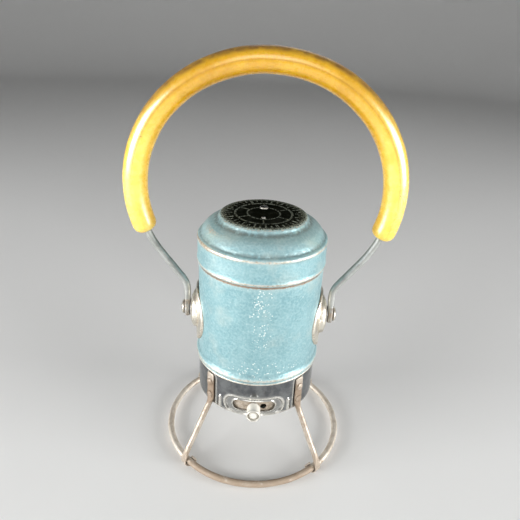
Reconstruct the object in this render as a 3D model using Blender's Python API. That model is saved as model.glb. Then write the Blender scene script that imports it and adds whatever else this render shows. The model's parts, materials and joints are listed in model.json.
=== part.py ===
"""Battery hand lantern with a wire bail, built as separate parts.

Lengths in this file are millimetres and angles are degrees. They become metres and radians when a mesh is
made. The origin is on the standing surface under the middle of the lantern, +Z is up, and the selector
knob faces -Y. Left and right are -X and +X.
"""

import math

import bmesh
import bpy
from mathutils import Vector

MM = 0.001
GAP = 0.3  # clearance between pieces that touch

# Base ring and legs
RING_RADIUS = 66.0
RING_WIRE = 2.38
STRAP = 1.0  # thickness of a leg where it hooks round the ring
HOOK_GAP = 0.5
HOOK_DRIFT = 4.4  # of the strap along the ring, from its start to its end
RING_Z = RING_WIRE + HOOK_GAP + STRAP
LEG_ROD = 4.1
LEG_PLATE_WIDTH = 6.5
LEG_PLATE_THICK = 1.5
LEG_PLATE_TOP = 71.9
LEG_PLATE_BOTTOM = 50.6
LEG_AZIMUTHS = {"front_left": -135.0, "front_right": -45.0, "rear_right": 45.0, "rear_left": 135.0}
LEG_TAB_SIDES = {"front_left": 1, "front_right": -1, "rear_right": 1, "rear_left": -1}
RIVET_HEIGHTS = {"lower": 53.6, "upper": 64.3}
RIVET_SHANK = 1.6

# Skirt
SKIRT_R = 43.2
SKIRT_WALL = 0.7
SKIRT_BOTTOM = 45.0
SKIRT_TOP = 77.1
SLOT_Z = 53.0
SLOT_HALF_HEIGHT = 4.2
SLOT_HALF_ANGLE = 20.5

# Can
CAN_R = 43.3
CAN_WALL = 0.8
CAN_NECK_R = 42.7  # where the cover slides over it
CAN_TOP = 164.6
CAN_BEAD_R = 45.0
CAN_BEAD_BOTTOM = 74.5
CAN_CUP_R = 40.8  # lower end, inside the skirt and clear of its rivets
CAN_FLOOR = 63.1
CAN_FLOOR_THICK = 0.9
CAN_FLOOR_HOLE_R = 36.0

# Cover
COVER_BOTTOM = 149.9
COVER_LIP_R = 44.5
COVER_R = 43.9
COVER_WALL = 0.8
COVER_DISC_R = 28.4
COVER_TOP = 181.8
COVER_SPRING_THICK = 0.6
COVER_RIVETS = {"front": (-8.5, 1.5, 0.8), "rear": (10.4, 3.2, 1.2)}  # y, head radius and shank radius

# Ears and bail
EAR_Z = 106.3
EAR_FACE_X = 48.7
EAR_THICK = 1.5
EAR_BOSS_R = 14.2
EAR_FLANGE_R = 22.0
PIVOT_R = 2.7
EAR_HOLE_R = PIVOT_R + GAP
BAIL_WIRE = 2.38
BAIL_EYE_X = 51.8
BAIL_EYE_R = 6.7
BAIL_EYE_THICK = 4.0
BAIL_CENTRE_UP = 89.9  # middle of the bail's curve, above the ear axis
BAIL_HALF_WIDTH = 84.7
BAIL_HALF_HEIGHT = 80.9
BAIL_CURVE_END = 35.5  # where the curve becomes straight, below the middle
BAIL_BEND_R = 16.0
GRIP_R = 8.2
GRIP_END = 21.4  # below the middle of the curve
GRIP_TURN = 1.1  # how far the grip has slid round the wire, to the left

# Inside
BOARD_R = 39.7
BOARD_BOTTOM = CAN_FLOOR + CAN_FLOOR_THICK + GAP
BOARD_THICK = 2.0
BOARD_TOP = BOARD_BOTTOM + BOARD_THICK
CONTACT_THICK = 0.7
CONTACT_TOP = BOARD_TOP + GAP + CONTACT_THICK
BATTERY_BOTTOM = 72.0
BATTERY_TOP = 168.5
BATTERY_HALF_WIDTH = 33.5
BATTERY_CORNER_R = 18.4
CORNER_SPRING_Y = 32.0
LAMP_BOTTOM = 40.6
LAMP_BASE_BOTTOM = 52.5
LAMP_BASE_TOP = 62.5
SPARE_LAMP_Y = 22.0
SOCKET_R = 5.9
SOCKET_BORE = 5.0
SOCKET_BOTTOM = 51.5
REFLECTOR_BOTTOM = 46.0
REFLECTOR_RISE = 12.6  # from its rim to its middle
REFLECTOR_THICK = 0.7
SELECTOR_Z = 60.0
STRIP_INNER_R = 40.2
STRIP_OUTER_R = 41.0
KNOB_R = 4.9
KNOB_END = 52.5

MAIN_SEGMENTS = 32
SMOOTH_ANGLE = 35.0


def clear_scene():
    for obj in list(bpy.data.objects):
        bpy.data.objects.remove(obj, do_unlink=True)


def make_material(name, colour, roughness, metallic):
    material = bpy.data.materials.new(name)
    material.use_nodes = True
    shader = material.node_tree.nodes["Principled BSDF"]
    shader.inputs["Base Color"].default_value = (*colour, 1.0)
    shader.inputs["Roughness"].default_value = roughness
    shader.inputs["Metallic"].default_value = metallic
    material.diffuse_color = (*colour, 1.0)
    return material


def blue_paint(name):
    return make_material(name, (0.30, 0.52, 0.58), 0.45, 0.0)


def nickel(name):
    return make_material(name, (0.62, 0.60, 0.56), 0.25, 1.0)


def dull_zinc(name):
    return make_material(name, (0.60, 0.54, 0.46), 0.45, 1.0)


def grey_wire(name):
    return make_material(name, (0.42, 0.43, 0.42), 0.42, 1.0)


def yellow_grip(name):
    return make_material(name, (0.83, 0.55, 0.08), 0.22, 0.0)


def brass(name):
    return make_material(name, (0.72, 0.55, 0.26), 0.35, 1.0)


def fibre(name):
    return make_material(name, (0.24, 0.11, 0.06), 0.7, 0.0)


def spring_steel(name):
    return make_material(name, (0.50, 0.50, 0.50), 0.35, 1.0)


def mirror_metal(name):
    return make_material(name, (0.88, 0.88, 0.86), 0.08, 1.0)


def clear_glass(name):
    material = make_material(name, (0.95, 0.96, 0.95), 0.05, 0.0)
    material.node_tree.nodes["Principled BSDF"].inputs["Transmission Weight"].default_value = 1.0
    return material


def battery_jacket(name):
    return make_material(name, (0.12, 0.14, 0.22), 0.5, 0.0)


def link(obj):
    bpy.context.scene.collection.objects.link(obj)


def add_object(name, bm, material=None, parent=None, origin=(0.0, 0.0, 0.0), azimuth=0.0):
    """Turns a bmesh in millimetres into an object in metres, with its own origin."""
    bmesh.ops.remove_doubles(bm, verts=bm.verts, dist=0.0005)
    bmesh.ops.recalc_face_normals(bm, faces=bm.faces)
    bmesh.ops.translate(bm, vec=-Vector(origin), verts=bm.verts)
    bmesh.ops.scale(bm, vec=(MM, MM, MM), verts=bm.verts)
    mesh = bpy.data.meshes.new(name)
    bm.to_mesh(mesh)
    bm.free()
    mesh.shade_smooth()
    mesh.set_sharp_from_angle(angle=math.radians(SMOOTH_ANGLE))
    obj = bpy.data.objects.new(name, mesh)
    if material:
        mesh.materials.append(material)
    link(obj)
    if parent:
        obj.parent = parent
    else:
        obj.location = Vector(origin) * MM
    obj.rotation_euler.z = math.radians(azimuth)
    return obj


def add_pivot(name, origin):
    """An empty on a joint's axis, which carries the moving pieces."""
    pivot = bpy.data.objects.new(name, None)
    pivot.location = Vector(origin) * MM
    link(pivot)
    return pivot


def use_as_cutter(target, cutter, operation="DIFFERENCE"):
    cutter.hide_render = True
    cutter.display_type = "WIRE"
    modifier = target.modifiers.new(cutter.name, "BOOLEAN")
    modifier.operation = operation
    modifier.solver = "EXACT"
    modifier.object = cutter


def arc_points(centre, radius, start, end, steps):
    """Points on an arc in a plane, as pairs."""
    points = []
    for i in range(steps + 1):
        angle = math.radians(start + (end - start) * i / steps)
        points.append((centre[0] + radius * math.cos(angle), centre[1] + radius * math.sin(angle)))
    return points


def lathe(profile, segments, closed=True, along="Z", centre=(0.0, 0.0, 0.0)):
    """Spins (radius, height) pairs about an axis along Z, or (radius, distance) about one along X."""
    bm = bmesh.new()
    ring = []
    for radius, height in profile:
        place = (radius, 0.0, height) if along == "Z" else (height, 0.0, radius)
        ring.append(bm.verts.new(Vector(place) + Vector(centre)))
    edges = [bm.edges.new(pair) for pair in zip(ring, ring[1:])]
    if closed:
        edges.append(bm.edges.new((ring[-1], ring[0])))
    axis = (0.0, 0.0, 1.0) if along == "Z" else (1.0, 0.0, 0.0)
    bmesh.ops.spin(
        bm,
        geom=ring + edges,
        cent=centre,
        axis=axis,
        angle=2.0 * math.pi,
        steps=segments,
        use_merge=True,
    )
    return bm


def frame_at(points, index, reference, loop=False):
    """Two directions across a path at one of its points; the first is nearest to the reference."""
    count = len(points)
    before = points[(index - 1) % count] if loop or index > 0 else points[index]
    after = points[(index + 1) % count] if loop or index < count - 1 else points[index]
    tangent = (after - before).normalized()
    first = (reference - tangent * reference.dot(tangent)).normalized()
    return first, tangent.cross(first)


def section_ring(bm, centre, first, second, section):
    return [bm.verts.new(centre + first * a + second * b) for a, b in section]


def bridge(bm, ring_a, ring_b):
    count = len(ring_a)
    for i in range(count):
        j = (i + 1) % count
        bm.faces.new((ring_a[i], ring_a[j], ring_b[j], ring_b[i]))


def sweep(points, sections, reference, loop=False, held=None):
    """A solid bar along a path. Each path point has its own section, a list of pairs.

    The two directions across the path come from the reference, except at the points named in held.
    """
    bm = bmesh.new()
    rings = []
    held = held or {}
    for i, point in enumerate(points):
        first, second = held.get(i) or frame_at(points, i, reference, loop)
        rings.append(section_ring(bm, point, first, second, sections[i]))
    for ring_a, ring_b in zip(rings, rings[1:]):
        bridge(bm, ring_a, ring_b)
    if loop:
        bridge(bm, rings[-1], rings[0])
    else:
        bm.faces.new(rings[0])
        bm.faces.new(rings[-1])
    return bm


def round_section(radius, sides):
    turn = 0.5 * 360.0 / sides
    return arc_points((0.0, 0.0), radius, turn, turn + 360.0 * (sides - 1) / sides, sides - 1)


def chamfered_section(width, thick, chamfer):
    """A rectangle with cut corners, eight points."""
    w = width / 2
    t = thick / 2
    return [
        (w, t - chamfer),
        (w - chamfer, t),
        (chamfer - w, t),
        (-w, t - chamfer),
        (-w, chamfer - t),
        (chamfer - w, -t),
        (w - chamfer, -t),
        (w, chamfer - t),
    ]


def arc_block(columns, inner_r, outer_r):
    """A curved plate round the Z axis, from (angle from the front, low z, high z) columns."""
    bm = bmesh.new()
    rings = []
    for angle, low, high in columns:
        turn = math.radians(angle - 90.0)
        out = Vector((math.cos(turn), math.sin(turn), 0.0))
        corners = ((inner_r, low), (outer_r, low), (outer_r, high), (inner_r, high))
        rings.append([bm.verts.new(out * r + Vector((0.0, 0.0, z))) for r, z in corners])
    for ring_a, ring_b in zip(rings, rings[1:]):
        bridge(bm, ring_a, ring_b)
    bm.faces.new(rings[0])
    bm.faces.new(rings[-1])
    return bm


def radial_pins(name, places, radius, inner, outer):
    """A cutter made of cylinders that point outward, at (azimuth, height) places."""
    bm = bmesh.new()
    sides = 12
    for azimuth, height in places:
        turn = math.radians(azimuth)
        out = Vector((math.cos(turn), math.sin(turn), 0.0))
        across = Vector((-out.y, out.x, 0.0))
        up = Vector((0.0, 0.0, 1.0))
        section = round_section(radius, sides)
        low = section_ring(bm, out * inner + up * height, across, up, section)
        high = section_ring(bm, out * outer + up * height, across, up, section)
        bridge(bm, low, high)
        bm.faces.new(low)
        bm.faces.new(high)
    return add_object(name, bm)


# Base ring and legs


def make_base_ring():
    points = [Vector((*p, RING_Z)) for p in arc_points((0.0, 0.0), RING_RADIUS, 0.0, 351.0, 39)]
    section = round_section(RING_WIRE, 8)
    bm = sweep(points, [section] * len(points), Vector((0.0, 0.0, 1.0)), loop=True)
    add_object("base_ring", bm, dull_zinc("base_ring"))


def leg_path(tab_side):
    """The path and sections of a leg whose radial direction is +X, and its hook's directions across."""
    plate_x = SKIRT_R + GAP + 0.05 + LEG_PLATE_THICK / 2
    plate = (LEG_PLATE_WIDTH, LEG_PLATE_THICK, 0.4)
    rod = (LEG_ROD, LEG_ROD, 0.29 * LEG_ROD)
    # The underside of the hook is a flat facet between the stations 15 degrees each side of straight down
    hook_step = 30.0
    outer = RING_Z / math.cos(math.radians(hook_step / 2))
    hook_r = outer - STRAP / 2
    strap_width = 4.6
    points = [
        (plate_x, 0.0, LEG_PLATE_TOP, (LEG_PLATE_WIDTH - 2.4, LEG_PLATE_THICK, 0.4)),
        (plate_x, 0.0, LEG_PLATE_TOP - 1.2, plate),
        (plate_x, 0.0, LEG_PLATE_BOTTOM, plate),
        (plate_x + 0.35, 0.0, LEG_PLATE_BOTTOM - 2.6, (5.2, 3.0, 0.7)),
        (plate_x + 1.7, 0.0, LEG_PLATE_BOTTOM - 5.8, rod),
        (RING_RADIUS - 1.2, 0.0, RING_Z + 11.2, rod),
        (RING_RADIUS + 1.2, 0.0, RING_Z + 6.0, (strap_width, 2.6, 0.5)),
    ]
    path = [Vector(p[:3]) for p in points]
    sections = [chamfered_section(*p[3]) for p in points]
    held = {}
    stations = 9
    for i in range(stations):
        turn = math.radians(hook_step * (0.5 - i))
        # The strap leans along the ring as it goes round it, so that its end clears the rod
        drift = tab_side * HOOK_DRIFT * max(0, i - 2) / (stations - 3) / RING_RADIUS
        out = Vector((math.cos(drift), math.sin(drift), 0.0))
        away = out * math.cos(turn) + Vector((0.0, 0.0, math.sin(turn)))
        held[len(path)] = (Vector((-out.y, out.x, 0.0)), away)
        path.append(out * RING_RADIUS + Vector((0.0, 0.0, RING_Z)) + away * hook_r)
        width = strap_width if i < stations - 1 else strap_width - 1.2
        sections.append(chamfered_section(width, STRAP, 0.25))
    return path, sections, held


def make_legs():
    for corner, azimuth in LEG_AZIMUTHS.items():
        path, sections, held = leg_path(LEG_TAB_SIDES[corner])
        name = "leg_" + corner
        bm = sweep(path, sections, Vector((0.0, 1.0, 0.0)), held=held)
        leg = add_object(name, bm, dull_zinc(name), azimuth=azimuth)
        places = [(azimuth, height) for height in RIVET_HEIGHTS.values()]
        holes = radial_pins("cutter_" + name, places, RIVET_SHANK + GAP, SKIRT_R - 2.0, SKIRT_R + 6.0)
        use_as_cutter(leg, holes)


def make_leg_rivets():
    seat = SKIRT_R + GAP + 0.05 + LEG_PLATE_THICK + GAP
    tail = SKIRT_R - SKIRT_WALL - 0.5
    for corner, azimuth in LEG_AZIMUTHS.items():
        for level, height in RIVET_HEIGHTS.items():
            profile = [
                (0.0, tail - 0.8),
                (2.5, tail - 0.7),
                (2.5, tail),
                (RIVET_SHANK, tail),
                (RIVET_SHANK, seat),
                (2.8, seat),
                (2.5, seat + 0.7),
                (1.4, seat + 1.2),
                (0.0, seat + 1.3),
            ]
            bm = lathe(profile, 8, closed=False, along="X")
            name = "leg_rivet_" + corner + "_" + level
            rivet = add_object(name, bm, dull_zinc(name), azimuth=azimuth)
            rivet.location.z = height * MM


# Skirt


def slot_columns():
    """The stadium-shaped slot as columns of a curved plate."""
    columns = []
    end_angle = math.degrees(SLOT_HALF_HEIGHT / SKIRT_R)
    straight = SLOT_HALF_ANGLE - end_angle
    for i in range(13):
        angle = SLOT_HALF_ANGLE * (i - 6) / 6 * 0.999
        past = max(0.0, abs(angle) - straight) / end_angle
        half = SLOT_HALF_HEIGHT * math.sqrt(1.0 - past * past)
        columns.append((angle, SLOT_Z - half, SLOT_Z + half))
    return columns


def make_skirt():
    inner = SKIRT_R - SKIRT_WALL
    profile = [
        (SKIRT_R, SKIRT_TOP),
        (SKIRT_R, SKIRT_BOTTOM + 2.2),
        (SKIRT_R - 0.2, SKIRT_BOTTOM + 0.8),
        (SKIRT_R - 0.7, SKIRT_BOTTOM),
        (inner - 0.7, SKIRT_BOTTOM + 0.3),
        (inner, SKIRT_BOTTOM + 2.2),
        (inner, SKIRT_TOP),
    ]
    skirt = add_object("base_skirt", lathe(profile, MAIN_SEGMENTS), nickel("base_skirt"))
    slot = add_object("cutter_slot", arc_block(slot_columns(), inner - 3.0, SKIRT_R + 3.0))
    use_as_cutter(skirt, slot)
    places = [(azimuth, height) for azimuth in LEG_AZIMUTHS.values() for height in RIVET_HEIGHTS.values()]
    holes = radial_pins("cutter_skirt_rivets", places, RIVET_SHANK + GAP, inner - 2.0, SKIRT_R + 2.0)
    use_as_cutter(skirt, holes)


# Can


def make_can():
    """The wall goes out into a folded bead and back in, and its lower end sits inside the skirt."""
    cup_inner = CAN_CUP_R - 0.6
    groove_top = SKIRT_TOP + GAP
    floor_top = CAN_FLOOR + CAN_FLOOR_THICK
    profile = [
        (CAN_NECK_R, CAN_TOP),
        (CAN_NECK_R, COVER_BOTTOM + 1.6),
        (CAN_R, COVER_BOTTOM + 0.4),
        (CAN_R, CAN_BEAD_BOTTOM + 7.0),
        (CAN_R + 0.5, CAN_BEAD_BOTTOM + 4.8),
        (CAN_BEAD_R - 0.3, CAN_BEAD_BOTTOM + 2.8),
        (CAN_BEAD_R, CAN_BEAD_BOTTOM + 1.4),
        (CAN_BEAD_R - 0.3, CAN_BEAD_BOTTOM + 0.2),
        (CAN_BEAD_R - 0.8, CAN_BEAD_BOTTOM),
        (SKIRT_R + GAP, CAN_BEAD_BOTTOM + 0.5),
        (SKIRT_R + GAP, groove_top),
        (CAN_CUP_R, groove_top),
        (CAN_CUP_R, CAN_FLOOR),
        (CAN_FLOOR_HOLE_R, CAN_FLOOR),
        (CAN_FLOOR_HOLE_R, floor_top),
        (cup_inner, floor_top),
        (cup_inner, groove_top + 1.2),
        (CAN_R - CAN_WALL, groove_top + 3.0),
        (CAN_R - CAN_WALL, COVER_BOTTOM),
        (CAN_NECK_R - CAN_WALL, COVER_BOTTOM + 1.6),
        (CAN_NECK_R - CAN_WALL, CAN_TOP),
    ]
    add_object("body_can", lathe(profile, MAIN_SEGMENTS), blue_paint("body_can"))


# Ears and their pivots


def ear_stations():
    """(radius from the ear's axis, height of the boss there) for the outer and inner faces.

    None stands for the saddle, which follows the can.
    """
    outer = [
        (EAR_HOLE_R, EAR_FACE_X),
        (9.6, EAR_FACE_X),
        (12.2, EAR_FACE_X - 0.9),
        (13.7, EAR_FACE_X - 2.5),
        (EAR_BOSS_R + 0.7, None),
        (EAR_FLANGE_R, None),
    ]
    back = EAR_FACE_X - EAR_THICK
    inner = [
        (EAR_FLANGE_R, None),
        (EAR_BOSS_R - 0.5, None),
        (12.2, EAR_FACE_X - 3.9),
        (10.6, back - 0.8),
        (8.6, back),
        (EAR_HOLE_R, back),
    ]
    return outer, inner


def make_ear(name, side):
    outer, inner = ear_stations()
    seat_r = CAN_R + GAP
    bm = bmesh.new()
    rings = []
    angles = 24
    for stations, saddle_r in ((outer, seat_r + EAR_THICK), (inner, seat_r)):
        for radius, height in stations:
            drop = -1.0 if radius == EAR_FLANGE_R else 0.0
            ring = []
            for y, up in arc_points((0.0, drop), radius, 0.0, 360.0 * (angles - 1) / angles, angles - 1):
                x = math.sqrt(saddle_r**2 - y**2) if height is None else height
                ring.append(bm.verts.new((side * x, y, EAR_Z + up)))
            rings.append(ring)
    for ring_a, ring_b in zip(rings, rings[1:]):
        bridge(bm, ring_a, ring_b)
    bridge(bm, rings[-1], rings[0])
    add_object(name, bm, nickel(name))


def make_ear_pivot(name, side):
    """A rivet through the ear, the washer and the bail's eye, with its tail inside the boss."""
    seat = BAIL_EYE_X + BAIL_EYE_THICK / 2 + GAP
    tail = EAR_FACE_X - EAR_THICK - GAP
    profile = [
        (0.0, tail - 1.2),
        (4.2, tail - 1.2),
        (4.4, tail),
        (PIVOT_R, tail),
        (PIVOT_R, seat),
        (5.2, seat),
        (4.9, seat + 1.0),
        (3.2, seat + 1.9),
        (0.0, seat + 2.2),
    ]
    bm = lathe(profile, 12, closed=False, along="X")
    bmesh.ops.scale(bm, vec=(side, 1.0, 1.0), verts=bm.verts)
    bmesh.ops.translate(bm, vec=(0.0, 0.0, EAR_Z), verts=bm.verts)
    add_object(name, bm, nickel(name), origin=(0.0, 0.0, EAR_Z))


# Bail


def bail_side(side):
    """Path points from the eye up to where the curve starts, as (x, height above the ear axis)."""
    end = math.radians(BAIL_CURVE_END)
    curve_x = BAIL_HALF_WIDTH * math.cos(end)
    curve_up = BAIL_CENTRE_UP - BAIL_HALF_HEIGHT * math.sin(end)
    lean = math.atan2(BAIL_HALF_WIDTH * math.sin(end), BAIL_HALF_HEIGHT * math.cos(end))
    corner_up = curve_up - (curve_x - BAIL_EYE_X) / math.tan(lean)
    bend_start = corner_up - BAIL_BEND_R * math.tan(lean / 2)
    bend = arc_points((BAIL_EYE_X + BAIL_BEND_R, bend_start), BAIL_BEND_R, 180.0, 180.0 - math.degrees(lean), 4)
    return [(side * x, up) for x, up in [(BAIL_EYE_X, 3.0), (BAIL_EYE_X, 8.0)] + bend]


def bail_curve(first, last, steps):
    """Points on the bail's oval, at angles above the horizontal through its middle."""
    points = []
    for i in range(steps + 1):
        angle = math.radians(first + (last - first) * i / steps)
        across = BAIL_HALF_WIDTH * math.cos(angle)
        points.append((across, BAIL_CENTRE_UP + BAIL_HALF_HEIGHT * math.sin(angle)))
    return points


def in_bail_plane(pairs):
    return [Vector((x, 0.0, EAR_Z + up)) for x, up in pairs]


def make_bail_wire(pivot):
    right = bail_side(1)
    left = bail_side(-1)
    start = bail_curve(-BAIL_CURVE_END, -GRIP_END, 2)[:-1]
    middle = bail_curve(-GRIP_END, 180.0 + GRIP_END, 30)
    end = bail_curve(180.0 + GRIP_END, 180.0 + BAIL_CURVE_END, 2)[1:]
    points = in_bail_plane(right + start + middle + end + left[::-1])
    section = round_section(BAIL_WIRE, 8)
    bm = sweep(points, [section] * len(points), Vector((0.0, 1.0, 0.0)))
    origin = (0.0, 0.0, EAR_Z)
    wire = add_object("bail_wire", bm, grey_wire("bail_wire"), pivot, origin)
    half = BAIL_EYE_THICK / 2
    disc = [
        (0.0, BAIL_EYE_X - half),
        (BAIL_EYE_R - 0.6, BAIL_EYE_X - half),
        (BAIL_EYE_R, BAIL_EYE_X - half + 0.6),
        (BAIL_EYE_R, BAIL_EYE_X + half - 0.6),
        (BAIL_EYE_R - 0.6, BAIL_EYE_X + half),
        (0.0, BAIL_EYE_X + half),
    ]
    hole = [(0.0, BAIL_EYE_X - 6.0), (PIVOT_R + GAP, BAIL_EYE_X - 6.0), (PIVOT_R + GAP, BAIL_EYE_X + 6.0)]
    hole.append((0.0, BAIL_EYE_X + 6.0))
    for profile, operation in ((disc, "UNION"), (hole, "DIFFERENCE")):
        for side, word in ((1, "right"), (-1, "left")):
            bm = lathe(profile, 16, closed=False, along="X")
            bmesh.ops.scale(bm, vec=(side, 1.0, 1.0), verts=bm.verts)
            bmesh.ops.translate(bm, vec=(0.0, 0.0, EAR_Z), verts=bm.verts)
            name = "cutter_eye_" + operation.lower() + "_" + word
            cutter = add_object(name, bm, parent=pivot, origin=origin)
            use_as_cutter(wire, cutter, operation)


def make_bail_grip(pivot):
    """A thick tube round the wire, with rounded ends."""
    end_profile = [(0.0, 4.2), (0.5, 6.1), (1.6, 7.6)]  # degrees from the end, outer radius
    right_end = GRIP_TURN - GRIP_END
    left_end = GRIP_TURN + 180.0 + GRIP_END
    turns = [right_end + turn for turn, _ in end_profile]
    radii = [radius for _, radius in end_profile]
    body_steps = 28
    end_reach = 3.4
    for i in range(body_steps + 1):
        part = i / body_steps
        turns.append(right_end + end_reach + (left_end - right_end - 2.0 * end_reach) * part)
        radii.append(GRIP_R)
    for turn, radius in reversed(end_profile):
        turns.append(left_end - turn)
        radii.append(radius)
    points = in_bail_plane([bail_curve(turn, turn, 1)[0] for turn in turns])
    bore = BAIL_WIRE + GAP + 0.25
    sides = 12
    bm = bmesh.new()
    rings_out = []
    rings_in = []
    for i, point in enumerate(points):
        first, second = frame_at(points, i, Vector((0.0, 1.0, 0.0)))
        rings_out.append(section_ring(bm, point, first, second, round_section(radii[i], sides)))
        rings_in.append(section_ring(bm, point, first, second, round_section(bore, sides)))
    for rings in (rings_out, rings_in):
        for ring_a, ring_b in zip(rings, rings[1:]):
            bridge(bm, ring_a, ring_b)
    for index in (0, -1):
        bridge(bm, rings_out[index], rings_in[index])
    add_object("bail_grip", bm, yellow_grip("bail_grip"), pivot, (0.0, 0.0, EAR_Z))


def make_bail_washer(name, side, pivot):
    """A spring washer between the ear's boss and the bail's eye."""
    low = EAR_FACE_X + GAP
    high = BAIL_EYE_X - BAIL_EYE_THICK / 2 - GAP
    profile = [(PIVOT_R + GAP, low), (6.0, low), (6.0, high), (PIVOT_R + GAP, high)]
    bm = lathe(profile, 16, along="X")
    bmesh.ops.scale(bm, vec=(side, 1.0, 1.0), verts=bm.verts)
    bmesh.ops.translate(bm, vec=(0.0, 0.0, EAR_Z), verts=bm.verts)
    add_object(name, bm, spring_steel(name), pivot, (0.0, 0.0, EAR_Z))


# Selector


def make_selector_arm(pivot):
    """A hub round the main lamp's socket, a bar to the front, and a curved plate behind the slot."""
    origin = (0.0, 0.0, SELECTOR_Z)
    low = SLOT_Z - 5.0
    high = SLOT_Z + 5.2
    columns = []
    for angle in (-34.0, -27.0, -20.0, -13.0, -10.0, -6.5, 0.0, 6.5, 10.0, 13.0, 20.0, 27.0, 34.0):
        columns.append((angle, low, SELECTOR_Z + 0.9 if abs(angle) < 7.0 else high))
    plate = arc_block(columns, STRIP_INNER_R, STRIP_OUTER_R)
    arm = add_object("selector_arm", plate, fibre("selector_arm"), pivot, origin)
    hub_r = SOCKET_R + GAP
    hub_profile = [
        (hub_r, SELECTOR_Z),
        (hub_r + 3.4, SELECTOR_Z),
        (hub_r + 3.4, SELECTOR_Z + 1.2),
        (hub_r, SELECTOR_Z + 1.2),
    ]
    hub = add_object("cutter_hub", lathe(hub_profile, 20), parent=pivot, origin=origin)
    bar_points = [Vector((0.0, y, SELECTOR_Z + 0.5)) for y in (-hub_r - 2.0, 0.2 - STRIP_OUTER_R)]
    bar_section = chamfered_section(9.0, 0.7, 0.1)
    bar_bm = sweep(bar_points, [bar_section] * 2, Vector((1.0, 0.0, 0.0)))
    bar = add_object("cutter_bar", bar_bm, parent=pivot, origin=origin)
    use_as_cutter(arm, bar, "UNION")
    use_as_cutter(arm, hub, "UNION")
    places = [(-90.0, SLOT_Z), (-80.5, SLOT_Z - 1.0)]
    holes = radial_pins("cutter_arm_holes", places, 2.3, STRIP_INNER_R - 3.0, STRIP_OUTER_R + 3.0)
    use_as_cutter(arm, holes)


def make_selector_knob(pivot):
    """The knob and the rivet that joins it to the arm. Both are turned about a line to the front."""
    origin = (0.0, 0.0, SELECTOR_Z)
    bore = 2.3
    neck = 3.2
    recess = 1.9
    shoulder = SKIRT_R + 0.4
    knob_profile = [
        (bore, STRIP_OUTER_R + GAP),
        (neck, STRIP_OUTER_R + GAP),
        (neck, shoulder),
        (KNOB_R - 0.4, shoulder),
        (KNOB_R, shoulder + 0.4),
        (KNOB_R, KNOB_END - 0.9),
        (KNOB_R - 0.25, KNOB_END - 0.2),
        (KNOB_R - 0.6, KNOB_END),
        (KNOB_R - 0.8, KNOB_END - 0.3),
        (KNOB_R - 0.8, KNOB_END - recess),
        (bore, KNOB_END - recess),
    ]
    tail = STRIP_INNER_R - GAP
    head = KNOB_END - recess + GAP
    rivet_profile = [
        (0.0, tail - 1.0),
        (2.6, tail - 0.8),
        (2.8, tail),
        (bore - GAP, tail),
        (bore - GAP, head),
        (3.6, head),
        (3.6, head + 0.6),
        (3.1, head + 0.9),
        (0.0, head + 1.1),
    ]
    pieces = (
        ("selector_knob", knob_profile, True, nickel),
        ("knob_rivet", rivet_profile, False, nickel),
    )
    for name, profile, closed, material in pieces:
        bm = lathe(profile, 16 if closed else 12, closed=closed, along="X")
        bmesh.ops.translate(bm, vec=(0.0, 0.0, SLOT_Z), verts=bm.verts)
        add_object(name, bm, material(name), pivot, origin, azimuth=-90.0)


# Cover


def cover_outline():
    """The cover's outer face from its lip to its middle, as (radius, height)."""
    side = [
        (COVER_LIP_R, COVER_BOTTOM),
        (COVER_LIP_R, COVER_BOTTOM + 1.1),
        (COVER_R, COVER_BOTTOM + 2.8),
        (COVER_R, COVER_BOTTOM + 15.0),
        (COVER_R + 0.3, COVER_BOTTOM + 16.2),
        (COVER_R - 0.3, COVER_BOTTOM + 17.4),
        (COVER_R - 1.7, COVER_BOTTOM + 17.3),
    ]
    shoulder = [
        (COVER_R - 2.4, COVER_TOP - 13.6),
        (COVER_R - 3.5, COVER_TOP - 11.0),
        (COVER_R - 5.4, COVER_TOP - 8.6),
        (COVER_R - 8.0, COVER_TOP - 6.7),
        (COVER_R - 11.2, COVER_TOP - 5.2),
    ]
    step = [
        (COVER_DISC_R + 2.8, COVER_TOP - 4.2),
        (COVER_DISC_R + 1.5, COVER_TOP - 1.4),
        (COVER_DISC_R, COVER_TOP),
    ]
    return side + shoulder + step


def inset_outline(outline, distance):
    """The same outline moved inward along its normals, for the inner face of a sheet."""
    points = [Vector(p) for p in outline]
    moved = []
    for i, point in enumerate(points):
        before = points[max(i - 1, 0)]
        after = points[min(i + 1, len(points) - 1)]
        along = (after - before).normalized()
        moved.append((point.x - distance * along.y, point.y + distance * along.x))
    return moved


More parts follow.
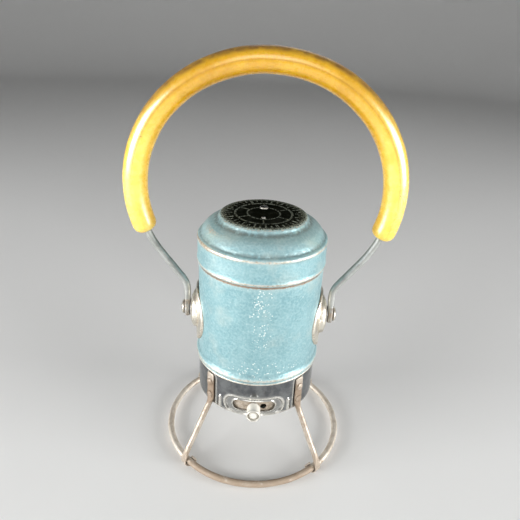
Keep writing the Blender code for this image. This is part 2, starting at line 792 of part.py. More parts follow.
def make_cover(pivot):
    outline = cover_outline()
    inner = [(COVER_LIP_R - 0.9, COVER_BOTTOM)]
    inner += inset_outline(outline, COVER_WALL)[1:-1]
    inner += [(COVER_DISC_R - 0.4, COVER_TOP - COVER_WALL)]
    profile = [(0.0, COVER_TOP - COVER_WALL)] + inner[::-1] + outline + [(0.0, COVER_TOP)]
    origin = (0.0, 0.0, COVER_BOTTOM)
    bm = lathe(profile, MAIN_SEGMENTS, closed=False)
    cover = add_object("top_cover", bm, blue_paint("top_cover"), pivot, origin)
    spring = make_cover_spring(pivot, origin)
    head = COVER_TOP + GAP
    tail = COVER_TOP - COVER_WALL - GAP - COVER_SPRING_THICK - GAP
    for word, (y, head_r, shank_r) in COVER_RIVETS.items():
        rivet_name = "cover_rivet_" + word
        rivet_profile = [
            (0.0, tail - 0.6),
            (shank_r + 0.8, tail - 0.5),
            (shank_r + 0.8, tail),
            (shank_r, tail),
            (shank_r, head),
            (head_r, head),
            (0.75 * head_r, head + 0.22 * head_r),
            (0.0, head + 0.32 * head_r),
        ]
        centre = (0.0, y, 0.0)
        rivet_bm = lathe(rivet_profile, 10, closed=False, centre=centre)
        add_object(rivet_name, rivet_bm, nickel(rivet_name), pivot, origin)
        hole_r = shank_r + GAP
        hole_profile = [(0.0, tail - 2.0), (hole_r, tail - 2.0), (hole_r, head + 2.0), (0.0, head + 2.0)]
        hole_bm = lathe(hole_profile, 12, closed=False, centre=centre)
        hole = add_object("cutter_cover_" + word, hole_bm, parent=pivot, origin=origin)
        use_as_cutter(cover, hole)
        use_as_cutter(spring, hole)


def make_cover_spring(pivot, origin):
    """A bowed strip under the disc whose ends press on the battery."""
    thick = COVER_SPRING_THICK
    flat_z = COVER_TOP - COVER_WALL - GAP - thick / 2
    tip_z = BATTERY_TOP + GAP + thick / 2
    half = [(0.0, flat_z), (13.5, flat_z), (16.5, flat_z - 1.0), (22.0, flat_z - 6.0)]
    half += [(26.0, tip_z + 0.9), (28.0, tip_z), (30.0, tip_z + 0.9)]
    pairs = [(-y, z) for y, z in half[:0:-1]] + half
    points = [Vector((0.0, y, z)) for y, z in pairs]
    bm = sweep(points, [chamfered_section(12.0, thick, 0.1)] * len(points), Vector((1.0, 0.0, 0.0)))
    return add_object("cover_spring", bm, spring_steel("cover_spring"), pivot, origin)


# Inside


def make_reflector():
    top = REFLECTOR_BOTTOM + REFLECTOR_RISE
    outer = [
        (38.4, REFLECTOR_BOTTOM),
        (38.8, top - 11.2),
        (35.6, top - 7.6),
        (29.0, top - 4.4),
        (20.0, top - 1.8),
        (12.0, top - 0.5),
        (SOCKET_R + GAP, top),
    ]
    under = top - REFLECTOR_THICK
    inner = [
        (SOCKET_R + GAP, under),
        (12.0, under - 0.5),
        (20.0, under - 1.8),
        (28.6, under - 4.3),
        (34.9, under - 7.3),
        (37.8, REFLECTOR_BOTTOM + 0.2),
    ]
    reflector = add_object("reflector", lathe(outer + inner, MAIN_SEGMENTS), mirror_metal("reflector"))
    hole_r = SOCKET_R + 0.5
    low = REFLECTOR_BOTTOM + 4.0
    high = top + 4.0
    profile = [(0.0, low), (hole_r, low), (hole_r, high), (0.0, high)]
    bm = lathe(profile, 16, closed=False, centre=(0.0, SPARE_LAMP_Y, 0.0))
    use_as_cutter(reflector, add_object("cutter_spare_lamp", bm))


def make_lamp(prefix, y, collars):
    """A screw lamp that hangs from its socket: the socket, the lamp's brass base and its glass."""
    centre = (0.0, y, 0.0)
    top = BOARD_BOTTOM - GAP
    flange = SOCKET_R + 2.6
    outer = [(SOCKET_R, SOCKET_BOTTOM)]
    for radius, low, high in collars:
        outer += [(SOCKET_R, low), (radius, low), (radius, high), (SOCKET_R, high)]
    outer += [(SOCKET_R, top - 0.7), (flange, top - 0.7), (flange, top)]
    socket = [(SOCKET_BORE, top), (SOCKET_BORE, SOCKET_BOTTOM)] + outer
    base_r = SOCKET_BORE - 0.4
    base = [
        (0.0, LAMP_BASE_BOTTOM),
        (base_r, LAMP_BASE_BOTTOM),
        (base_r, LAMP_BASE_TOP - 1.1),
        (2.0, LAMP_BASE_TOP),
        (0.0, LAMP_BASE_TOP),
    ]
    globe_r = 5.6
    neck_r = 3.7
    globe = arc_points((0.0, LAMP_BOTTOM + globe_r), globe_r, -90.0, 45.0, 8)
    globe[0] = (0.0, LAMP_BOTTOM)
    glass_top = LAMP_BASE_BOTTOM - GAP
    glass = globe + [(neck_r, glass_top - 1.3), (neck_r, glass_top), (0.0, glass_top)]
    pieces = (
        (prefix + "_socket", socket, True, brass),
        (prefix + "_base", base, False, brass),
        (prefix + "_glass", glass, False, clear_glass),
    )
    for name, profile, closed, material in pieces:
        bm = lathe(profile, 12, closed=closed, centre=centre)
        add_object(name, bm, material(name), origin=centre)


def make_contacts():
    stem = 2.5
    board = [
        (stem + GAP, BOARD_BOTTOM),
        (BOARD_R, BOARD_BOTTOM),
        (BOARD_R, BOARD_TOP),
        (stem + GAP, BOARD_TOP),
    ]
    add_object("contact_board", lathe(board, 28), fibre("contact_board"))
    seat = BOARD_TOP + GAP
    tip = LAMP_BASE_TOP + GAP
    centre = [(0.0, tip), (stem, tip), (stem, seat), (5.0, seat), (5.0, CONTACT_TOP), (0.0, CONTACT_TOP)]
    add_object("centre_contact", lathe(centre, 16, closed=False), brass("centre_contact"))
    corner = [(28.0, seat), (36.0, seat), (36.0, CONTACT_TOP), (28.0, CONTACT_TOP)]
    add_object("corner_contact", lathe(corner, 28), brass("corner_contact"))


def make_battery_spring(name, y):
    """A conical coil between the battery and a contact, pressed nearly flat."""
    wire = 0.5
    turns = 2.5
    steps = 24
    low = CONTACT_TOP + GAP + wire
    high = BATTERY_BOTTOM - GAP - wire
    points = []
    for i in range(steps + 1):
        part = i / steps
        angle = 2.0 * math.pi * turns * part
        radius = 3.0 + 5.0 * part
        place = (radius * math.cos(angle), y + radius * math.sin(angle), low + (high - low) * part)
        points.append(Vector(place))
    bm = sweep(points, [round_section(wire, 5)] * len(points), Vector((0.0, 0.0, 1.0)))
    add_object(name, bm, spring_steel(name), origin=(0.0, y, 0.0))


def make_battery():
    """A rounded square case, turned so that its corners point to the front, sides and back."""
    bm = bmesh.new()
    rings = []
    layers = (
        (BATTERY_BOTTOM, 1.5),
        (BATTERY_BOTTOM + 1.5, 0.0),
        (BATTERY_TOP - 2.5, 0.0),
        (BATTERY_TOP, 2.5),
    )
    middle = BATTERY_HALF_WIDTH - BATTERY_CORNER_R
    for z, inset in layers:
        ring = []
        for corner in range(4):
            start = 90.0 * corner
            turn = math.radians(start + 45.0)
            reach = middle * math.sqrt(2.0)
            centre = (reach * math.cos(turn), reach * math.sin(turn))
            ring += arc_points(centre, BATTERY_CORNER_R - inset, start, start + 90.0, 5)
        rings.append([bm.verts.new((x, y, z)) for x, y in ring])
    for ring_a, ring_b in zip(rings, rings[1:]):
        bridge(bm, ring_a, ring_b)
    bm.faces.new(rings[0])
    bm.faces.new(rings[-1])
    add_object("battery_case", bm, battery_jacket("battery_case"), azimuth=45.0)


def main():
    clear_scene()
    make_base_ring()
    make_legs()
    make_leg_rivets()
    make_skirt()
    make_can()
    make_reflector()
    socket_collars = ((7.2, 56.9, 57.6), (9.0, 58.9, SELECTOR_Z - GAP))
    make_lamp("main_lamp", 0.0, socket_collars)
    make_lamp("spare_lamp", SPARE_LAMP_Y, ())
    make_contacts()
    make_battery_spring("battery_centre_spring", 0.0)
    make_battery_spring("battery_corner_spring", CORNER_SPRING_Y)
    make_battery()
    bail = add_pivot("bail_pivot", (0.0, 0.0, EAR_Z))
    make_bail_wire(bail)
    make_bail_grip(bail)
    for word, side in (("left", -1), ("right", 1)):
        make_ear("ear_" + word, side)
        make_ear_pivot("ear_pivot_" + word, side)
        make_bail_washer("bail_washer_" + word, side, bail)
    selector = add_pivot("selector_pivot", (0.0, 0.0, SELECTOR_Z))
    make_selector_arm(selector)
    make_selector_knob(selector)
    make_cover(add_pivot("cover_slide", (0.0, 0.0, COVER_BOTTOM)))


main()
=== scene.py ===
import json
import math

import bmesh
import bpy
import numpy as np
from mathutils import Matrix, Vector, noise


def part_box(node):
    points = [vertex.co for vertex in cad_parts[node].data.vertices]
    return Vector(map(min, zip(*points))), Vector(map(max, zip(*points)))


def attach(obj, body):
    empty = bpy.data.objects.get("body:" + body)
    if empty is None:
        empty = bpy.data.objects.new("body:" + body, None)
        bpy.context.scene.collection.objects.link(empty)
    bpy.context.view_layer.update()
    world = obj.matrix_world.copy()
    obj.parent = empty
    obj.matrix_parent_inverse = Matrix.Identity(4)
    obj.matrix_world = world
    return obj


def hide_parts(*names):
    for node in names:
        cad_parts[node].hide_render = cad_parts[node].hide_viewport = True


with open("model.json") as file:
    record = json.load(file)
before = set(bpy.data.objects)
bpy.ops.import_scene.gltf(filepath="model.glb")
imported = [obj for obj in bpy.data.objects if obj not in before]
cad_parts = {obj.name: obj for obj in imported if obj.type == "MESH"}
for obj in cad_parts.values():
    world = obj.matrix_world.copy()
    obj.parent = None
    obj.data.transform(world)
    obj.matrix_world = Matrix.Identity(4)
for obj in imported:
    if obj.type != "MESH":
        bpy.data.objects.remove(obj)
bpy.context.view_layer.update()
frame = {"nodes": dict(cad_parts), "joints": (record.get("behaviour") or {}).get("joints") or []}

# Lengths in the piece functions are millimetres in the row frame. They become metres in make_piece.
MM = 0.001


def top_mm(node):
    return np.array(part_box(node)[1]) / MM


def bottom_mm(node):
    return np.array(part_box(node)[0]) / MM


# Places read from the frame
JOINTS = {joint["name"]: joint for joint in frame["joints"]}
EAR_Z = JOINTS["bail_swing"]["pos_m"][2] / MM
COVER_LOW = bottom_mm("top_cover")[2]
COVER_TOP = top_mm("top_cover")[2]
COVER_LIP_R = top_mm("top_cover")[0]
CAN_TOP = top_mm("body_can")[2]
CAN_FLOOR = bottom_mm("body_can")[2]
BEAD_R = top_mm("body_can")[0]
SKIRT_R = top_mm("base_skirt")[0]
SKIRT_LOW = bottom_mm("base_skirt")[2]
SKIRT_TOP = top_mm("base_skirt")[2]
EAR_FACE_X = top_mm("ear_right")[0]
PIVOT_END_X = top_mm("ear_pivot_right")[0]
WASHER_X = (bottom_mm("bail_washer_right")[0], top_mm("bail_washer_right")[0])
KNOB_END = -bottom_mm("selector_knob")[1]
KNOB_Z = (bottom_mm("selector_knob")[2] + top_mm("selector_knob")[2]) / 2
KNOB_R = (top_mm("selector_knob")[2] - bottom_mm("selector_knob")[2]) / 2
LAMP_LOW = bottom_mm("main_lamp_glass")[2]
SPARE_LAMP_Y = (bottom_mm("spare_lamp_glass")[1] + top_mm("spare_lamp_glass")[1]) / 2
SOCKET_LOW = bottom_mm("main_lamp_socket")[2]
SOCKET_TOP = top_mm("main_lamp_socket")[2]
BATTERY_LOW = bottom_mm("battery_case")[2]
BATTERY_TOP = top_mm("battery_case")[2]
REFLECTOR_LOW = bottom_mm("reflector")[2]
REFLECTOR_TOP = top_mm("reflector")[2]

# The base ring's solid has eight flat sides, and its box gives the distance to them
RING_SIDE = (top_mm("base_ring")[2] - bottom_mm("base_ring")[2]) / 2
RING_WIRE = RING_SIDE / math.cos(math.radians(22.5))
RING_Z = bottom_mm("base_ring")[2] + RING_SIDE
RING_R = top_mm("base_ring")[0] - RING_SIDE

# Sizes of the pieces' own details
CAN_R = 43.3
CAN_NECK_R = 42.7
FLOOR_HOLE_R = 36.0
BEAD_LOW = 74.5  # of the rolled bead round the can's foot
SHEET = 0.8
SKIRT_WALL = 0.7
SLOT_HALF_ANGLE = 20.5
SLOT_HALF_HEIGHT = 4.2
RECESS_HALF_ANGLE = 28.2
RECESS_HALF_HEIGHT = 6.9
RIB_ANGLE = 33.9
RIB_Z = 51.4
RIB_HALF_LENGTH = 5.5
RIB_HALF_WIDTH = 1.55
CHANNEL_HALF_WIDTH = 3.95  # of the pressed channels behind the leg plates
CHANNEL_TOP = 72.6
COVER_R = 43.9
DISC_R = 28.4
LEG_CORNERS = {
    "front_left": (-135.0, 1),
    "front_right": (-45.0, -1),
    "rear_right": (45.0, 1),
    "rear_left": (135.0, -1),
}
LEG_GAP = 0.35  # between the skirt and the leg plates
LEG_PLATE = 1.5
RIVET_HEIGHTS = {"lower": 53.6, "upper": 64.3}
BAIL_WIRE = 2.38
BAIL_EYE_X = 51.8
BAIL_EYE_R = 6.7
BAIL_CENTRE_UP = 89.9
BAIL_HALF_WIDTH = 84.7
BAIL_HALF_HEIGHT = 80.9
BAIL_CURVE_END = 35.5
BAIL_BEND_R = 16.0
GRIP_R = 8.2
GRIP_END = 21.4
GRIP_TURN = 1.1  # how far the grip has slid round the wire


# Mesh making


def grid_faces(rows, cols, wrap_rows, wrap_cols):
    """Quads of a grid of points stored row by row."""
    faces = []
    for i in range(rows if wrap_rows else rows - 1):
        for j in range(cols if wrap_cols else cols - 1):
            a = i * cols + j
            b = i * cols + (j + 1) % cols
            c = ((i + 1) % rows) * cols + (j + 1) % cols
            d = ((i + 1) % rows) * cols + j
            faces.append((a, b, c, d))
    return faces


def new_mesh(name, points, faces, weld=0.0):
    """A mesh from points in millimetres, with its faces turned outward."""
    mesh = bpy.data.meshes.new(name)
    mesh.from_pydata((np.asarray(points, float) * MM).tolist(), [], faces)
    bm = bmesh.new()
    bm.from_mesh(mesh)
    if weld:
        bmesh.ops.remove_doubles(bm, verts=bm.verts, dist=weld * MM)
    bmesh.ops.recalc_face_normals(bm, faces=bm.faces)
    bm.to_mesh(mesh)
    bm.free()
    return mesh


def add_object(name, data):
    obj = bpy.data.objects.new(name, data)
    bpy.context.scene.collection.objects.link(obj)
    return obj


def make_piece(name, body, material, points, faces, replaced=None):
    """A mesh piece from points in millimetres, which rides on a body and stands for a CAD node."""
    mesh = new_mesh(name, points, faces, weld=0.002)
    mesh.shade_smooth()
    mesh.set_sharp_from_angle(angle=math.radians(50.0))
    mesh.materials.append(material)
    obj = add_object(name, mesh)
    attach(obj, body)
    if replaced:
        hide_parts(replaced)
    return obj


def vertex_array(obj):
    """The mesh's points in millimetres."""
    values = np.empty(len(obj.data.vertices) * 3, np.float32)
    obj.data.vertices.foreach_get("co", values)
    return values.reshape(-1, 3).astype(float) / MM


def move_vertices(obj, points):
    obj.data.vertices.foreach_set("co", (points * MM).astype(np.float32).ravel())


def set_attribute(obj, name, values):
    attribute = obj.data.attributes.new(name, "FLOAT", "POINT")
    attribute.data.foreach_set("value", np.clip(values, 0.0, 1.0).astype(np.float32))


def bell(values, centre, width):
    """1 at the centre, falling off to both sides."""
    return np.exp(-(((values - centre) / width) ** 2))


def smooth_step(values, low, high):
    """0 below low, 1 above high and a smooth slope between."""
    t = np.clip((values - low) / (high - low), 0.0, 1.0)
    return t * t * (3.0 - 2.0 * t)


def uneven(points, size, amount, seed=0.0):
    """Smooth unevenness at each point: features of a size in mm, and a height in mm."""
    shift = Vector((seed, 2.0 * seed, -seed))
    return np.array([amount * noise.noise(Vector(p) / size + shift) for p in points])


def arc(centre, radius, start, end, steps):
    turns = np.radians(np.linspace(start, end, steps + 1))
    return [(centre[0] + radius * math.cos(t), centre[1] + radius * math.sin(t)) for t in turns]


def soften(corners, steps=4, closed=False):
    """Rounds the corners of an outline. A corner is (x, y) or (x, y, reach of its rounding)."""
    count = len(corners)
    outline = []
    for i, corner in enumerate(corners):
        here = np.array(corner[:2], float)
        reach = corner[2] if len(corner) > 2 else 0.0
        at_end = not closed and i in (0, count - 1)
        if at_end or reach == 0.0:
            outline.append(tuple(here))
            continue
        before = np.array(corners[i - 1][:2], float)
        after = np.array(corners[(i + 1) % count][:2], float)
        reach = min(reach, 0.48 * np.linalg.norm(before - here), 0.48 * np.linalg.norm(after - here))
        start = here + reach * (before - here) / np.linalg.norm(before - here)
        end = here + reach * (after - here) / np.linalg.norm(after - here)
        for t in np.linspace(0.0, 1.0, steps + 1):
            outline.append(tuple((1 - t) ** 2 * start + 2 * t * (1 - t) * here + t * t * end))
    return outline


def even_out(outline, spacing):
    """Adds points to an outline so that no step is longer than the spacing."""
    points = [outline[0]]
    for a, b in zip(outline, outline[1:]):
        steps = max(1, math.ceil(math.dist(a, b) / spacing))
        for i in range(1, steps + 1):
            points.append(tuple(np.array(a) + (np.array(b) - np.array(a)) * i / steps))
    return points


def lathe_points(outline, segments, along="Z", centre=(0.0, 0.0, 0.0)):
    """Turns (radius, height) pairs about a line along Z, X or -Y through the centre."""
    turns = np.linspace(0.0, 2.0 * np.pi, segments, endpoint=False)
    radius = np.array([p[0] for p in outline])[:, None]
    height = np.array([p[1] for p in outline])[:, None] + 0.0 * turns
    across = radius * np.cos(turns)
    up = radius * np.sin(turns)
    columns = {"Z": (across, up, height), "X": (height, across, up), "-Y": (across, -height, up)}[along]
    return np.stack(columns, axis=-1).reshape(-1, 3) + np.array(centre)


def lathe_piece(name, body, slot, material, outline, segments, replaced=None, closed=True, **place):
    points = lathe_points(outline, segments, **place)
    faces = grid_faces(len(outline), segments, closed, True)
    return make_piece(name, body, material, points, faces, replaced)


def smooth_path(points, steps):
    """A curve through points given as rows; extra columns, such as section sizes, follow along."""
    rows = np.array(points, float)
    reach = np.sqrt(np.maximum(np.linalg.norm(np.diff(rows[:, :3], axis=0), axis=1), 1e-6))
    knots = np.concatenate(([0.0], np.cumsum(reach)))
    slopes = np.empty_like(rows)
    for i in range(len(rows)):
        low = max(i - 1, 0)
        high = min(i + 1, len(rows) - 1)
        slopes[i] = (rows[high] - rows[low]) / (knots[high] - knots[low])
    curve = []
    for i in range(len(rows) - 1):
        span = knots[i + 1] - knots[i]
        for t in np.linspace(0.0, 1.0, steps, endpoint=False):
            a = (1 + 2 * t) * (1 - t) ** 2
            b = t * (1 - t) ** 2 * span
            c = t * t * (3 - 2 * t)
            d = t * t * (t - 1) * span
            curve.append(a * rows[i] + b * slopes[i] + c * rows[i + 1] + d * slopes[i + 1])
    curve.append(rows[-1])
    return np.array(curve)


def path_frames(path, reference, loop=False):
    """Two directions across a path at each of its points; the first is nearest to the reference.

    The reference is one direction, or a row for each point.
    """
    if loop:
        tangents = np.roll(path, -1, axis=0) - np.roll(path, 1, axis=0)
    else:
        tangents = np.gradient(path, axis=0)
    tangents /= np.linalg.norm(tangents, axis=1)[:, None]
    reference = np.asarray(reference, float)
    first = reference - tangents * np.sum(tangents * reference, axis=1)[:, None]
    first /= np.linalg.norm(first, axis=1)[:, None]
    return first, np.cross(tangents, first)


def superellipse(width, thick, power, sides):
    """Points of a closed section between an ellipse (power 2) and a rectangle (high power)."""
    turns = np.linspace(0.0, 2.0 * np.pi, sides, endpoint=False)
    cos = np.cos(turns)
    sin = np.sin(turns)
    a = 0.5 * width * np.sign(cos) * np.abs(cos) ** (2.0 / power)
    b = 0.5 * thick * np.sign(sin) * np.abs(sin) ** (2.0 / power)
    return a, b


def sweep_points(path, widths, thicks, powers, reference, sides, loop=False):
    """Rings of points round a path, with a section for each of its points."""
    first, second = path_frames(path, reference, loop)
    rings = []
    for i, point in enumerate(path):
        a, b = superellipse(widths[i], thicks[i], powers[i], sides)
        rings.append(point + a[:, None] * first[i] + b[:, None] * second[i])
    return np.array(rings)


def capped(points, rows, sides):
    """Points and faces of a swept bar, with both ends closed by a fan round a middle point."""
    points = list(points)
    faces = grid_faces(rows, sides, False, True)
    for row, flip in ((0, True), (rows - 1, False)):
        ring = [row * sides + j for j in range(sides)]
        middle = len(points)
        points.append(np.mean([points[index] for index in ring], axis=0))
        for j in range(sides):
            pair = (ring[j], ring[(j + 1) % sides])
            faces.append((middle, *(pair[::-1] if flip else pair)))
    return points, faces


def cut(obj, name, points, faces):
    """Cuts a closed shape out of a piece."""
    cutter = add_object(name, new_mesh(name, points, faces))
    modifier = obj.modifiers.new(name, "BOOLEAN")
    modifier.solver = "EXACT"
    modifier.object = cutter
    bpy.context.view_layer.update()
    graph = bpy.context.evaluated_depsgraph_get()
    result = bpy.data.meshes.new_from_object(obj.evaluated_get(graph))
    obj.modifiers.clear()
    obj.data = result
    obj.data.name = obj.name
    bpy.data.objects.remove(cutter, do_unlink=True)


def cut_round_hole(obj, name, radius, low, high, segments, side=1, **place):
    """Cuts a round hole from low to high along a line; side -1 mirrors it in x."""
    points = lathe_points([(radius, low), (radius, high)], segments, **place)
    points[:, 0] *= side
    ends = [tuple(range(segments)), tuple(range(segments, 2 * segments))]
    cut(obj, name, points, grid_faces(2, segments, False, True) + ends)


# Materials


class Shader:
    """A Principled material with short names for the nodes it uses."""

    def __init__(self, name, values):
        self.material = bpy.data.materials.new(name)
        self.material.use_nodes = True
        self.tree = self.material.node_tree
        self.surface = self.tree.nodes["Principled BSDF"]
        for key, value in values.items():
            self.surface.inputs[key].default_value = value
        self.place = self.tree.nodes.new("ShaderNodeTexCoord").outputs["Object"]

    def add(self, kind, inputs, output, **settings):
        """Adds a node, gives its inputs values or links, and returns one of its outputs."""
        node = self.tree.nodes.new(kind)
        for key, value in settings.items():
            setattr(node, key, value)
        for key, value in inputs.items():
            if isinstance(value, bpy.types.NodeSocket):
                self.tree.links.new(value, node.inputs[key])
            else:
                node.inputs[key].default_value = value
        return node.outputs[output]

    def noise(self, size, detail=2.0, roughness=0.5, distortion=0.0, stretch=None):
        """Cloudy noise from 0 to 1 whose features are about this many millimetres across."""
        place = self.place
        if stretch:
            place = self.add("ShaderNodeMapping", {"Vector": place, "Scale": stretch}, "Vector")
        inputs = {"Vector": place, "Scale": 1.0 / (size * MM), "Detail": detail}
        inputs |= {"Roughness": roughness, "Distortion": distortion}
        return self.add("ShaderNodeTexNoise", inputs, "Fac")

    def cells(self, size, feature="F1"):
        """Distance from the middle of each cell; cells are about this many millimetres across."""
        inputs = {"Vector": self.place, "Scale": 1.0 / (size * MM)}
        return self.add("ShaderNodeTexVoronoi", inputs, "Distance", feature=feature)

    def attribute(self, name):
        return self.add("ShaderNodeAttribute", {}, "Fac", attribute_name=name)

    def step(self, value, low, high, to_low=0.0, to_high=1.0):
        inputs = {"Value": value, "From Min": low, "From Max": high, "To Min": to_low, "To Max": to_high}
        return self.add("ShaderNodeMapRange", inputs, "Result", interpolation_type="SMOOTHSTEP")

    def math(self, operation, a, b, clamp=False):
        return self.add("ShaderNodeMath", {0: a, 1: b}, "Value", operation=operation, use_clamp=clamp)

    def times(self, a, b, clamp=False):
        return self.math("MULTIPLY", a, b, clamp)

    def plus(self, a, b, clamp=False):
        return self.math("ADD", a, b, clamp)

    def mix(self, share, a, b):
        a, b = ((*value, 1.0) if isinstance(value, tuple) else value for value in (a, b))
        return self.add("ShaderNodeMix", {"Factor": share, "A": a, "B": b}, "Result", data_type="RGBA")

    def blend(self, share, a, b):
        return self.add("ShaderNodeMix", {"Factor": share, "A": a, "B": b}, "Result", data_type="FLOAT")

    def set(self, socket, value):
        self.tree.links.new(value, self.surface.inputs[socket])

    def bump(self, *layers):
        """Stacks bumps, each a (height socket, depth in millimetres) pair."""
        inputs = {"Strength": 1.0}
        for height, depth in layers:
            inputs |= {"Distance": depth * MM, "Height": height}
            inputs["Normal"] = self.add("ShaderNodeBump", inputs, "Normal")
        self.set("Normal", inputs["Normal"])


def paint_material(name, with_disc, coat=0.16, specular=0.3):
    """Light blue hammered metallic paint, flecked, and paled along the marked edges: partly rubbed wear,
    partly a painted highlight.
    """
    s = Shader(name, {"Coat Weight": coat, "Coat Roughness": 0.28, "Specular IOR Level": specular})
    cloud = s.step(s.noise(14.0, 3.0), 0.30, 0.72)
    colour = s.mix(cloud, (0.180, 0.340, 0.375), (0.235, 0.405, 0.435))
    hammer = s.cells(1.5, "SMOOTH_F1")
    colour = s.mix(s.step(hammer, 0.25, 0.75, 0.0, 0.6), colour, (0.33, 0.50, 0.52))
    grain = s.step(s.noise(1.1, 4.0, 0.75), 0.50, 0.68, 0.0, 0.42)
    colour = s.mix(grain, colour, (0.43, 0.57, 0.575))
    beige = s.step(s.noise(17.0, 3.0), 0.50, 0.72, 0.0, 0.35)
    colour = s.mix(beige, colour, (0.47, 0.53, 0.49))
    amount = s.attribute("flecks")
    worn_spots = s.plus(s.times(amount, 0.30), s.times(s.noise(4.5, 3.0, 0.6), 0.55))
    size = s.step(worn_spots, 0.34, 0.64, 0.0, 0.33)
    fleck = s.step(s.math("SUBTRACT", size, s.cells(1.65)), -0.02, 0.06)
    colour = s.mix(s.times(fleck, 0.78), colour, (0.84, 0.87, 0.82))
    # Pale tint on the marked edges: partly worn paint, partly a painted highlight where the edges face the
    # light.
    wear_and_highlight = s.attribute("wear_and_highlight")
    colour = s.mix(s.times(wear_and_highlight, 0.55), colour, (0.56, 0.66, 0.64))
    ragged = s.times(s.noise(1.5, 5.0, 0.75), 0.9)
    rubbed = s.step(s.plus(wear_and_highlight, ragged), 0.98, 1.22)
    bare = s.mix(s.step(s.noise(2.2, 3.0), 0.45, 0.68), (0.64, 0.60, 0.52), (0.44, 0.36, 0.27))
    bare = s.mix(s.attribute("rust"), bare, (0.20, 0.115, 0.065))
    colour = s.mix(rubbed, colour, bare)
    # Dark brown mix: partly dirt, partly painted shade in grooves, valleys and creases.
    grime_and_shade = s.times(s.attribute("grime_and_shade"), s.step(s.noise(3.0, 4.0), 0.26, 0.58))
    colour = s.mix(s.times(grime_and_shade, 0.8, clamp=True), colour, (0.078, 0.066, 0.048))
    gloss = s.step(s.noise(3.0, 4.0), 0.3, 0.7, 0.34, 0.50)
    metal = s.blend(rubbed, 0.30, 0.65)
    if with_disc:
        # On the cover's flat disc the near-black colour is painted shade; the pale flanks of the raised marks
        # and the disc's ragged rim are painted highlights.
        disc = s.attribute("disc")
        edge = s.attribute("edge")
        cover_up = s.step(s.plus(disc, s.times(s.noise(1.8, 5.0, 0.75), 0.8)), 0.66, 1.02)
        dark_disc_shade = s.mix(s.step(s.noise(6.0, 4.0), 0.4, 0.7), (0.005, 0.006, 0.004), (0.014, 0.016, 0.012))
        specks = s.step(s.noise(0.9, 4.0, 0.7), 0.62, 0.74, 0.0, 0.20)
        dark_disc_shade = s.mix(specks, dark_disc_shade, (0.16, 0.17, 0.12))
        ragged_edge = s.times(edge, s.step(s.noise(1.1, 3.0), 0.38, 0.58))
        dark_disc_shade = s.mix(s.times(ragged_edge, 0.8, clamp=True), dark_disc_shade, (0.46, 0.51, 0.42))
        colour = s.mix(cover_up, colour, dark_disc_shade)
        gloss = s.blend(cover_up, gloss, 0.30)
        metal = s.blend(cover_up, metal, 0.0)
    s.set("Base Color", colour)
    s.set("Roughness", gloss)
    s.set("Metallic", metal)
    chips = s.times(s.plus(rubbed, fleck, clamp=True), -1.0)
    s.bump((hammer, 0.16), (s.noise(0.9, 3.0), 0.07), (chips, 0.04))
    return s.material


def plated_material(name, light, dark, rust, gloss, dirt_share=0.5, shine=None, metallic=1.0):
    """Nickel plating with clouding, fine scratches and brown spots where the plating has gone.

    Where shine is given, it is the colour of the marked rims: partly rubbed bright, partly a painted
    highlight.
    """
    s = Shader(name, {"Metallic": metallic})
    cloud = s.step(s.noise(7.0, 4.0, 0.6), 0.35, 0.70)
    colour = s.mix(cloud, light, dark)
    grime_and_shade = s.attribute("grime_and_shade")
    if shine:
        # Pale shine on the marked rims: partly rubbed plating, partly a painted highlight.
        polish_and_highlight = s.times(s.attribute("polish_and_highlight"), s.step(s.noise(1.5, 4.0, 0.7), 0.25, 0.55, 0.7, 1.0))
        colour = s.mix(polish_and_highlight, colour, shine)
        grime_and_shade = s.math("SUBTRACT", grime_and_shade, polish_and_highlight)
    spots = s.step(s.plus(s.noise(2.4, 5.0, 0.7), s.times(grime_and_shade, 0.35)), 0.60, 0.76)
    colour = s.mix(s.times(spots, dirt_share), colour, rust)
    scratch = s.noise(3.0, 4.0, 0.7, 0.3, stretch=(1.0, 1.0, 0.05))
    cross = s.noise(2.0, 4.0, 0.7, 0.3, stretch=(0.08, 0.08, 1.0))
    s.set("Base Color", colour)
    rough = s.step(s.noise(2.0, 4.0, 0.7), 0.3, 0.75, gloss[0], gloss[1])
    s.set("Roughness", s.plus(rough, s.times(spots, 0.28), clamp=True))
    if shine:
        # Less metallic on the marked rims, so their painted highlight stays pale from every side.
        s.set("Metallic", s.blend(polish_and_highlight, metallic, 0.35))
    s.bump((scratch, 0.012), (cross, 0.010), (spots, 0.02))
    return s.material


def wire_material(name, light, dark, rust, amount):
    """Dull drawn wire with streaks along it and rust that gathers low down."""
    s = Shader(name, {})
    cloud = s.step(s.noise(11.0, 5.0, 0.62), 0.33, 0.72)
    colour = s.mix(cloud, light, dark)
    grime_and_shade = s.attribute("grime_and_shade")
    place = s.plus(s.noise(8.0, 6.0, 0.72), s.times(grime_and_shade, 0.40))
    rusty = s.step(place, amount, amount + 0.22)
    colour = s.mix(s.times(rusty, 0.72), colour, rust)
    s.set("Base Color", colour)
    s.set("Metallic", s.blend(rusty, 0.6, 0.2))
    s.set("Roughness", s.blend(rusty, s.step(s.noise(1.4, 3.0), 0.3, 0.7, 0.42, 0.55), 0.66))
    s.bump((s.noise(0.8, 4.0, 0.7), 0.035), (s.noise(3.0, 2.0), 0.08), (rusty, 0.02))
    return s.material


